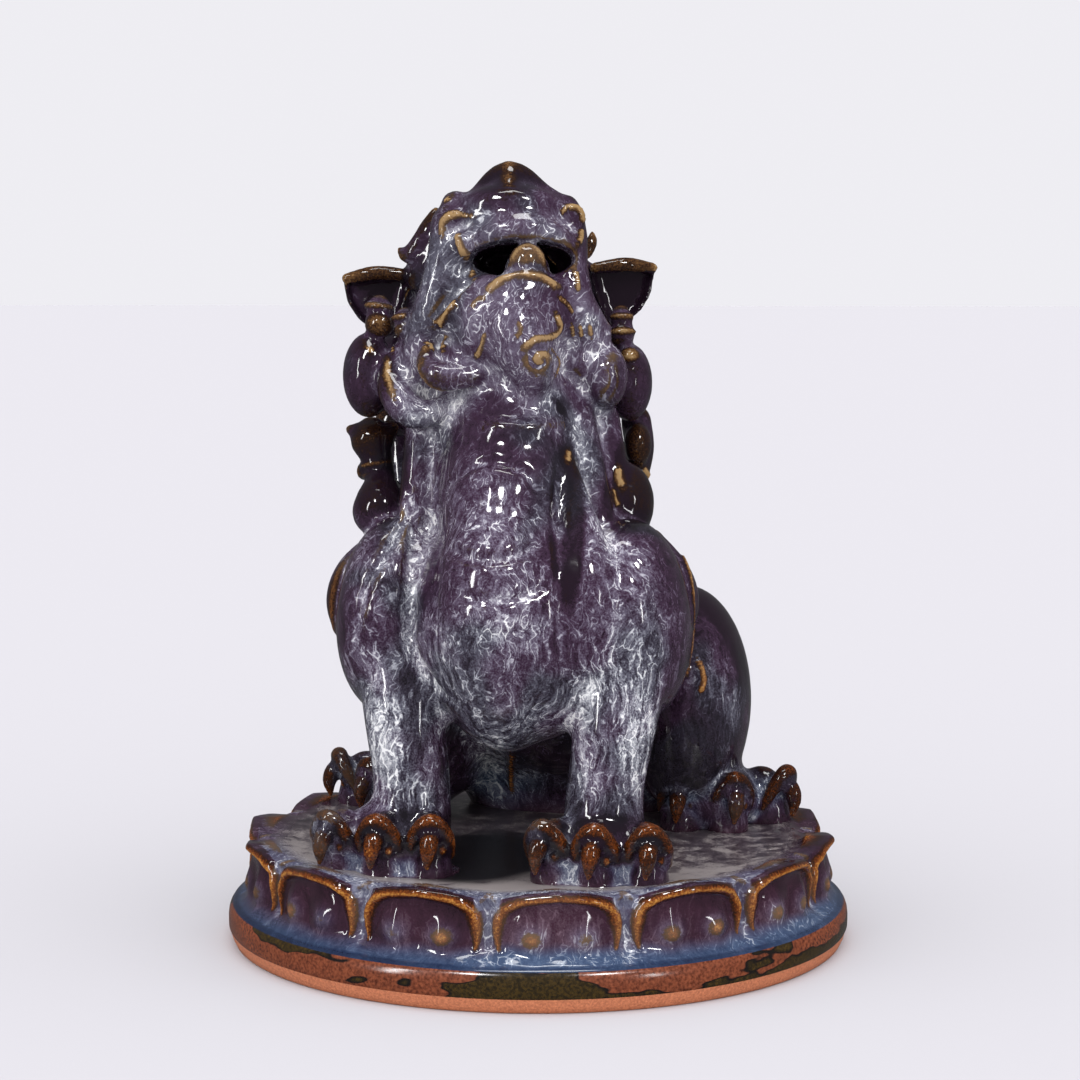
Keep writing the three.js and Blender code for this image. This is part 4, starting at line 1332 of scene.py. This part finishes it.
def streaks_and_lines(tree, place, for_threads, for_streaks):
    """How strong the streaks are, and the lines of strands and threads."""
    streak = add(tree, "TexNoise", {"Vector": for_streaks, "Scale": STREAKS_PER_MM, "Detail": 3.5,
                                    "Roughness": 0.66})
    wide = add(tree, "TexNoise", {"Vector": for_streaks, "Scale": STRANDS_PER_MM, "Detail": 1.0})
    levels = add(tree, "Math", {0: wide, 1: LEVELS}, operation="MULTIPLY")
    wave = add(tree, "Math", {0: levels}, operation="SINE")
    strand = add(tree, "MapRange", {0: wave, 1: 0.5, 2: 1.0, 4: 0.75}, **SMOOTH)
    cells = add(tree, "TexVoronoi", {"Vector": for_threads, "Scale": CELLS_PER_MM}, out="Distance",
                feature="DISTANCE_TO_EDGE")
    thread = add(tree, "MapRange", {0: cells, 1: THREAD_WIDTH, 2: 0.0}, **SMOOTH)
    patchy = add(tree, "TexNoise", {"Vector": place, "Scale": PATCHES_PER_MM, "Detail": 2.0})
    net_here = add(tree, "MapRange", {0: patchy, 1: 0.47, 2: 0.6}, **SMOOTH)
    strand_here = add(tree, "MapRange", {0: patchy, 1: 0.55, 2: 0.42}, **SMOOTH)
    threads = add(tree, "Math", {0: thread, 1: net_here}, operation="MULTIPLY")
    strands = add(tree, "Math", {0: strand, 1: strand_here}, operation="MULTIPLY")
    lines = add(tree, "Math", {0: strands, 1: threads}, operation="MAXIMUM")
    broken = add(tree, "MapRange", {0: streak, 1: 0.4, 2: 0.56, 3: 0.15, 4: 1.0}, **SMOOTH)
    return streak, add(tree, "Math", {0: lines, 1: broken}, operation="MULTIPLY")


streak, lines = streaks_and_lines(tree, place, for_threads, for_streaks)
print("streaks and lines, now", len(tree.nodes), "nodes")

# %% [markdown]
# ## How pale the glaze is
# One number from 0 to 1 says how pale each point is. It starts from a veil of milk, is mottled by
# streaks and grain, and gets the lines on top. Where there is more milk, all three are stronger. The
# mottle calms down towards the top of the head and on the petals, where the real glaze lies smoother.

# %% How pale
def paleness(tree, height, milk, streak, grain, lines):
    mottled = add(tree, "Math", {0: streak, 1: 1.6, 2: grain}, operation="MULTIPLY_ADD")
    mottled = add(tree, "Math", {0: mottled, 1: -1.3}, operation="ADD")
    coarse = add(tree, "Math", {0: milk, 1: 0.6, 2: 0.28}, operation="MULTIPLY_ADD")
    calm = add(tree, "MapRange", {0: height, 1: 90.0, 2: 180.0, 3: 1.15, 4: 0.5})
    low_calm = add(tree, "MapRange", {0: height, 1: 30.0, 2: 40.0, 3: 0.35})
    coarse = add(tree, "Math", {0: coarse, 1: calm}, operation="MULTIPLY")
    coarse = add(tree, "Math", {0: coarse, 1: low_calm}, operation="MULTIPLY")
    mottled = add(tree, "Math", {0: mottled, 1: coarse}, operation="MULTIPLY")
    least = add(tree, "MapRange", {0: height, 1: 150.0, 2: 175.0, 3: 0.12, 4: 0.14})
    share = add(tree, "MapRange", {0: height, 1: 115.0, 2: 145.0, 3: 0.45, 4: 0.38})
    veil = add(tree, "Math", {0: milk, 1: share, 2: least}, operation="MULTIPLY_ADD")
    veil = add(tree, "Math", {0: veil, 1: mottled}, operation="ADD")
    weight = add(tree, "Math", {0: milk, 1: 0.6, 2: 0.1}, operation="MULTIPLY_ADD", use_clamp=True)
    lined = add(tree, "Math", {0: low_calm, 1: milk}, operation="MAXIMUM", use_clamp=True)
    weight = add(tree, "Math", {0: weight, 1: lined}, operation="MULTIPLY")
    return add(tree, "Math", {0: lines, 1: weight, 2: veil}, operation="MULTIPLY_ADD", use_clamp=True)


pale = paleness(tree, height, milk, streak, grain, lines)
print("paleness, now", len(tree.nodes), "nodes")

# %% [markdown]
# ## Plum, smoke and blue
# Each glaze has a ramp from its deep colour to milk. The body is plum, the petals are a redder plum,
# and low on the lion the glaze is greyer, as if smoke had reached it. At the foot of the petals, and a
# little at the feet of the lion, it came out blue. All of them read the same paleness, so the strands
# run on from one colour into the next.

# %% Plum, smoke and blue
SMOKES_PER_MM = 0.045


def body_colour(tree, place, height, cloud, pool, pale):
    plum = add(tree, "ValToRGB", {0: pale}, stops=(
        (0.05, "#1D121C"), (1.0, "#E0DFDE"), (0.24, "#382738"), (0.44, "#5F5666"), (0.7, "#9F9DA6")))
    smoky = add(tree, "ValToRGB", {0: pale}, stops=(
        (0.05, "#161419"), (1.0, "#E0E1E0"), (0.24, "#2C2A33"), (0.44, "#555660"), (0.7, "#9A9DA2")))
    ruddy = add(tree, "ValToRGB", {0: pale}, stops=(
        (0.05, "#1C1017"), (1.0, "#E0DCDC"), (0.24, "#39222E"), (0.44, "#624D58"), (0.7, "#A39CA2")))
    blue = add(tree, "ValToRGB", {0: pale}, stops=((0.1, "#12243E"), (1.0, "#9CA8B4"), (0.55, "#2E5474")))
    lower = add(tree, "MapRange", {0: height, 1: 115.0, 2: 70.0, 4: 0.14})
    off_petals = add(tree, "MapRange", {0: height, 1: 32.0, 2: 42.0, 3: -0.4, 4: 0.0})
    lower = add(tree, "Math", {0: lower, 1: off_petals}, operation="ADD")
    smoke = add(tree, "TexNoise", {"Vector": place, "Scale": SMOKES_PER_MM, "Detail": 1.0})
    smoke = add(tree, "Math", {0: smoke, 1: lower}, operation="ADD")
    smoke = add(tree, "MapRange", {0: smoke, 1: 0.5, 2: 0.68, 4: 0.85}, **SMOOTH)
    on_petals = add(tree, "MapRange", {0: height, 1: 36.0, 2: 31.0})
    plum = add(tree, "Mix", {0: on_petals, 6: plum, 7: ruddy}, out=2, **MIX)
    body = add(tree, "Mix", {0: smoke, 6: plum, 7: smoky}, out=2, **MIX)
    wavy = add(tree, "Math", {0: cloud, 1: -9.0, 2: height}, operation="MULTIPLY_ADD")
    low = add(tree, "MapRange", {0: wavy, 1: 14.5, 2: 9.0, 3: 0.0, 4: 0.75}, **SMOOTH)
    feet = add(tree, "MapRange", {0: height, 1: 54.0, 2: 38.0, 3: 0.0, 4: 0.45}, **SMOOTH)
    feet = add(tree, "Math", {0: feet, 1: pool}, operation="MULTIPLY", use_clamp=True)
    low = add(tree, "Math", {0: low, 1: feet}, operation="MAXIMUM")
    return add(tree, "Mix", {0: low, 6: body, 7: blue}, out=2, **MIX)


body = body_colour(tree, place, height, cloud, pool, pale)
print("body colours, now", len(tree.nodes), "nodes")

# %% [markdown]
# ## Iron on the edges
# Where the glaze is thin the iron shows through it, from near black over amber to tan. A speckle of
# 0.8 mm makes the edge of the amber ragged. It is orange on the paws and petals and more khaki on the
# head, and a little creamy where milk ran over it.

# %% Iron on the edges
SPECKS_PER_MM = 1.3
CREAM = "#8E7860"


def with_iron(tree, place, height, thin, milk, grain, body):
    speck = add(tree, "TexNoise", {"Vector": place, "Scale": SPECKS_PER_MM, "Detail": 3.0,
                                   "Roughness": 0.65})
    edge = add(tree, "Math", {0: speck, 1: 0.9, 2: thin}, operation="MULTIPLY_ADD")
    edge = add(tree, "Math", {0: milk, 1: -0.4, 2: edge}, operation="MULTIPLY_ADD")
    bare = add(tree, "MapRange", {0: edge, 1: 0.7, 2: 1.1}, **SMOOTH)
    edge = add(tree, "Math", {0: grain, 1: 1.3, 2: edge}, operation="MULTIPLY_ADD")
    half = add(tree, "Math", {0: edge, 1: 0.5, 2: -0.33}, operation="MULTIPLY_ADD")
    khaki = add(tree, "ValToRGB", {0: half}, stops=(
        (0.35, "#160D0A"), (1.0, "#947850"), (0.6, "#2C1A10"), (0.82, "#5C4024")))
    orange = add(tree, "ValToRGB", {0: half}, stops=(
        (0.35, "#180C08"), (1.0, "#B07A38"), (0.6, "#32180A"), (0.82, "#6C3614")))
    upper = add(tree, "MapRange", {0: height, 1: 60.0, 2: 130.0})
    iron = add(tree, "Mix", {0: upper, 6: orange, 7: khaki}, out=2, **MIX)
    creamy = add(tree, "MapRange", {0: milk, 1: 0.15, 2: 0.8, 3: 0.0, 4: 0.35})
    iron = add(tree, "Mix", {0: creamy, 6: iron, 7: colour(CREAM)}, out=2, **MIX)
    return add(tree, "Mix", {0: bare, 6: body, 7: iron}, out=2, **MIX)


glazed = with_iron(tree, place, height, thin, milk, grain, body)
print("iron, now", len(tree.nodes), "nodes")

# %% [markdown]
# ## The floor of the dish
# On the flat floor between the paws the glaze couldn't run. It stayed in grey swirls that change over
# 7 mm, and dried satin where the rest is like glass. A near-black oval between the front paws is painted
# shadow and painted reflection of the belly. Last come the faint unevenness of the surface, called orange
# peel, and the refraction of a glassy glaze.

# %% Floor of the dish
# Painted shadow and reflection of the belly: a near-black oval on the dish between the front paws.
PAINTED_SHADOW_MIDDLE, PAINTED_SHADOW_SCALE = (-12, -34, 31), (1 / 27, 1 / 40, 0)
SWIRLS_PER_MM, PEELS_PER_MM = 0.14, 0.9
PAINTED_SHADOW_BLACK = "#151316"
GLAZE_IOR = 1.52


def with_dish(tree, place, bent, pool, grain, dry, glazed):
    swirl = add(tree, "TexNoise", {"Vector": bent, "Scale": SWIRLS_PER_MM, "Detail": 4.0, "Roughness": 0.65})
    swirl = add(tree, "Math", {0: swirl, 1: 1.25, 2: -0.24}, operation="MULTIPLY_ADD")
    dish = add(tree, "Math", {0: pool, 1: 0.3, 2: swirl}, operation="MULTIPLY_ADD")
    dish = add(tree, "Math", {0: grain, 1: 0.8, 2: dish}, operation="MULTIPLY_ADD")
    dish = add(tree, "ValToRGB", {0: dish}, stops=(
        (0.5, "#1E181C"), (1.0, "#968E8B"), (0.7, "#383036"), (0.85, "#574E52")))
    # The oval of painted shadow and reflection under the belly.
    offset = add(tree, "VectorMath", {0: place, 1: PAINTED_SHADOW_MIDDLE}, operation="SUBTRACT")
    offset = add(tree, "VectorMath", {0: offset, 1: PAINTED_SHADOW_SCALE}, operation="MULTIPLY")
    away = add(tree, "VectorMath", {0: offset}, out="Value", operation="LENGTH")
    patch = add(tree, "MapRange", {0: away, 1: 1.1, 2: 0.75}, **SMOOTH)
    dish = add(tree, "Mix", {0: patch, 6: dish, 7: colour(PAINTED_SHADOW_BLACK)}, out=2, **MIX)
    return add(tree, "Mix", {0: dry, 6: glazed, 7: dish}, out=2, **MIX)


glazed = with_dish(tree, place, bent, pool, grain, dry, glazed)
tree.links.new(glazed, shader.inputs["Base Color"])
rough = add(tree, "Math", {0: dry, 1: 0.24, 2: 0.07}, operation="MULTIPLY_ADD")
tree.links.new(rough, shader.inputs["Roughness"])
peel = add(tree, "TexNoise", {"Vector": place, "Scale": PEELS_PER_MM, "Detail": 2.0})
peel = add(tree, "Bump", {"Strength": 0.02, "Distance": 0.0004, "Height": peel})
tree.links.new(peel, shader.inputs["Normal"])
shader.inputs["IOR"].default_value = GLAZE_IOR
print("flambe glaze of", len(tree.nodes), "nodes")

# %% [markdown]
# ## The foot
# Under the petals the glaze was wiped off. A band of bare iron slip took a brown gloss like a chestnut,
# with olive patches outlined in black where glaze crept over it. Below it the orange clay is bare. Both
# are fine-grained: the grain is drawn at 0.7 to 0.9 mm, coarser than the real one, so that it shows.

# %% Band and clay
SLIP_PATCHES_PER_MM, SLIP_GRAINS_PER_MM, CLAY_GRAINS_PER_MM = 0.03, 1.1, 1.4
PATCH_FLATTEN = 3.4


def chestnut_band():
    material, tree, shader, place = start("chestnut iron slip")
    wide = add(tree, "VectorMath", {0: place, 1: (1, 1, PATCH_FLATTEN)}, operation="MULTIPLY")
    patch = add(tree, "TexNoise", {"Vector": wide, "Scale": SLIP_PATCHES_PER_MM, "Detail": 2.5,
                                   "Roughness": 0.5})
    grain = add(tree, "TexNoise", {"Vector": place, "Scale": SLIP_GRAINS_PER_MM, "Detail": 3.0})
    brown = add(tree, "ValToRGB", {0: grain}, stops=((0.3, "#4A2215"), (0.75, "#8C4B2E")))
    olive = add(tree, "ValToRGB", {0: grain}, stops=((0.3, "#18130A"), (0.75, "#45340F")))
    crept = add(tree, "MapRange", {0: patch, 1: 0.535, 2: 0.55})
    outline = add(tree, "MapRange", {0: patch, 1: 0.52, 2: 0.53})
    slip = add(tree, "Mix", {0: outline, 6: brown, 7: colour("#120D0B")}, out=2, **MIX)
    slip = add(tree, "Mix", {0: crept, 6: slip, 7: olive}, out=2, **MIX)
    tree.links.new(slip, shader.inputs["Base Color"])
    rough = add(tree, "Math", {0: grain, 1: 0.16, 2: 0.1}, operation="MULTIPLY_ADD")
    tree.links.new(rough, shader.inputs["Roughness"])
    shader.inputs["IOR"].default_value = 1.6
    return material


def bare_clay():
    material, tree, shader, place = start("bare orange stoneware clay")
    grain = add(tree, "TexNoise", {"Vector": place, "Scale": CLAY_GRAINS_PER_MM, "Detail": 4.0,
                                   "Roughness": 0.7})
    clay_colour = add(tree, "ValToRGB", {0: grain}, stops=((0.3, "#9A5636"), (0.7, "#D6855A")))
    tree.links.new(clay_colour, shader.inputs["Base Color"])
    shader.inputs["Roughness"].default_value = 0.7
    return material


band, bare = chestnut_band(), bare_clay()
print("band of", len(band.node_tree.nodes), "nodes, clay of", len(bare.node_tree.nodes))

# %% [markdown]
# ## Dress the two pieces
# The lion is glazed all over. On the base each face gets its material by its height and its distance
# from the axis, which leaves the lines between the three as clean as on a wheel. The floor of the dish
# is marked on the vertices, so that its glaze can change softly.

# %% Dress
FLOOR_EDGE, FLOOR_FADE, FLOOR_LOW = 86, 6, 30
BAND_INNER = 97


def dress_base(mesh):
    for material in (flambe, band, bare):
        mesh.materials.append(material)
    centres = np.array([p.center for p in mesh.polygons]) / MM
    heights, radii = centres[:, 2], np.hypot(centres[:, 0], centres[:, 1])
    kinds = np.where(heights < CLAY_TOP, 2, np.where((heights < BAND_TOP) & (radii > BAND_INNER), 1, 0))
    mesh.polygons.foreach_set("material_index", kinds.astype(np.int32))
    places = vertex_places(mesh) / MM
    radii = np.hypot(places[:, 0], places[:, 1])
    floor = np.clip((FLOOR_EDGE - radii) / FLOOR_FADE, 0, 1) * (places[:, 2] > FLOOR_LOW)
    keep_amount(mesh, "dry", floor)
    print("faces of glaze, band and clay:", np.bincount(kinds))


lion.data.materials.append(flambe)
dress_base(base.data)

# %% [markdown]
# ## The table
# The lion stands on a white table. A plane is enough for it. It is matt and out of sight of the gloss,
# because a white table mirrored in the glaze would turn it milky.

# %% Table
TABLE_WHITE, TABLE_ROUGHNESS = "#C1C0C2", 0.9


def stage():
    bm = bmesh.new()
    bmesh.ops.create_grid(bm, x_segments=1, y_segments=1, size=30)
    table = as_object(bm, "table")
    paint = bpy.data.materials.new("white table")
    paint.use_nodes = True
    shader = paint.node_tree.nodes["Principled BSDF"]
    shader.inputs["Base Color"].default_value = colour(TABLE_WHITE)
    shader.inputs["Roughness"].default_value = TABLE_ROUGHNESS
    shader.inputs["Specular IOR Level"].default_value = 0.0
    table.data.materials.append(paint)
    table.visible_glossy = False


stage()
print("table laid")

# %% [markdown]
# ## The room
# A white room fills every shadow. It is brighter on the side of the camera and overhead than behind the
# lion, which shapes it softly. A photographer would use big screens for that, and here the world's own
# light does it. The camera sees the room white, and the gloss sees it dark, so the glaze stays deep.

# %% Room
ROOM_WHITE = "#F0EFF4"
ROOM_LIGHT, ROOM_DIM, ROOM_SEEN, ROOM_MIRRORED = 2.6, 0.2, 0.985, 0.12
KEY_REACH, KEY_RISE = 0.6, 0.8
KEY_SIDE = Vector((math.sin(CAMERA_AZIMUTH) * KEY_REACH, -math.cos(CAMERA_AZIMUTH) * KEY_REACH,
                   KEY_RISE))


def room():
    world = bpy.context.scene.world or bpy.data.worlds.new("room")
    bpy.context.scene.world = world
    world.use_nodes = True
    tree = world.node_tree
    back = tree.nodes["Background"]
    seen = add(tree, "LightPath", out="Is Camera Ray")
    mirrored = add(tree, "LightPath", out="Is Glossy Ray")
    back.inputs["Color"].default_value = colour(ROOM_WHITE)
    looking = add(tree, "TexCoord", out="Generated")
    facing = add(tree, "VectorMath", {0: looking, 1: KEY_SIDE}, out="Value", operation="DOT_PRODUCT")
    lit = add(tree, "MapRange", {0: facing, 1: -0.3, 2: 1.0, 3: ROOM_DIM, 4: ROOM_LIGHT}, **SMOOTH)
    strength = add(tree, "Mix", {0: seen, 2: lit, 3: ROOM_SEEN})
    strength = add(tree, "Mix", {0: mirrored, 2: strength, 3: ROOM_MIRRORED})
    tree.links.new(strength, back.inputs["Strength"])


room()
print("room is", round(ROOM_LIGHT / ROOM_DIM), "times brighter before the lion than behind it")

# %% [markdown]
# ## Soft boxes
# Soft boxes high at the left and right give the round glints on the ribs, a tall one at the left the
# long glints on the legs, and one overhead the bright line along the upper jaw. They only show in the
# gloss, so they can be moved without changing the shadows.

# %% Soft boxes
LIT_SPOT = Vector((0, 0, 0.12))


def soft_box(name, azimuth, height, reach, size, power):
    """A soft box: azimuth from the camera's own in degrees, height and reach in metres, size in metres."""
    turn = CAMERA_AZIMUTH + math.radians(azimuth)
    place = Vector((math.sin(turn) * reach, -math.cos(turn) * reach, height))
    light = bpy.data.objects.new(name, bpy.data.lights.new(name, "AREA"))
    light.data.shape = "ELLIPSE"
    light.data.size, light.data.size_y = size
    light.data.energy = power
    light.location = place
    light.rotation_euler = (LIT_SPOT - place).to_track_quat("-Z", "Y").to_euler()
    light.visible_diffuse = False
    bpy.context.scene.collection.objects.link(light)


soft_box("left_box", -28, 0.95, 0.9, (0.18, 0.18), 4.5)
soft_box("right_box", 28, 0.95, 0.9, (0.18, 0.18), 4.5)
soft_box("tall_box", -52, 0.45, 1.0, (0.08, 0.6), 3)
soft_box("small_box", 40, 0.3, 1.0, (0.05, 0.3), 0.8)
soft_box("top_box", 0, 1.3, 0.15, (0.6, 0.2), 3)
bpy.context.scene.view_settings.view_transform = "Standard"
print("soft boxes:", [light.name for light in bpy.data.lights])
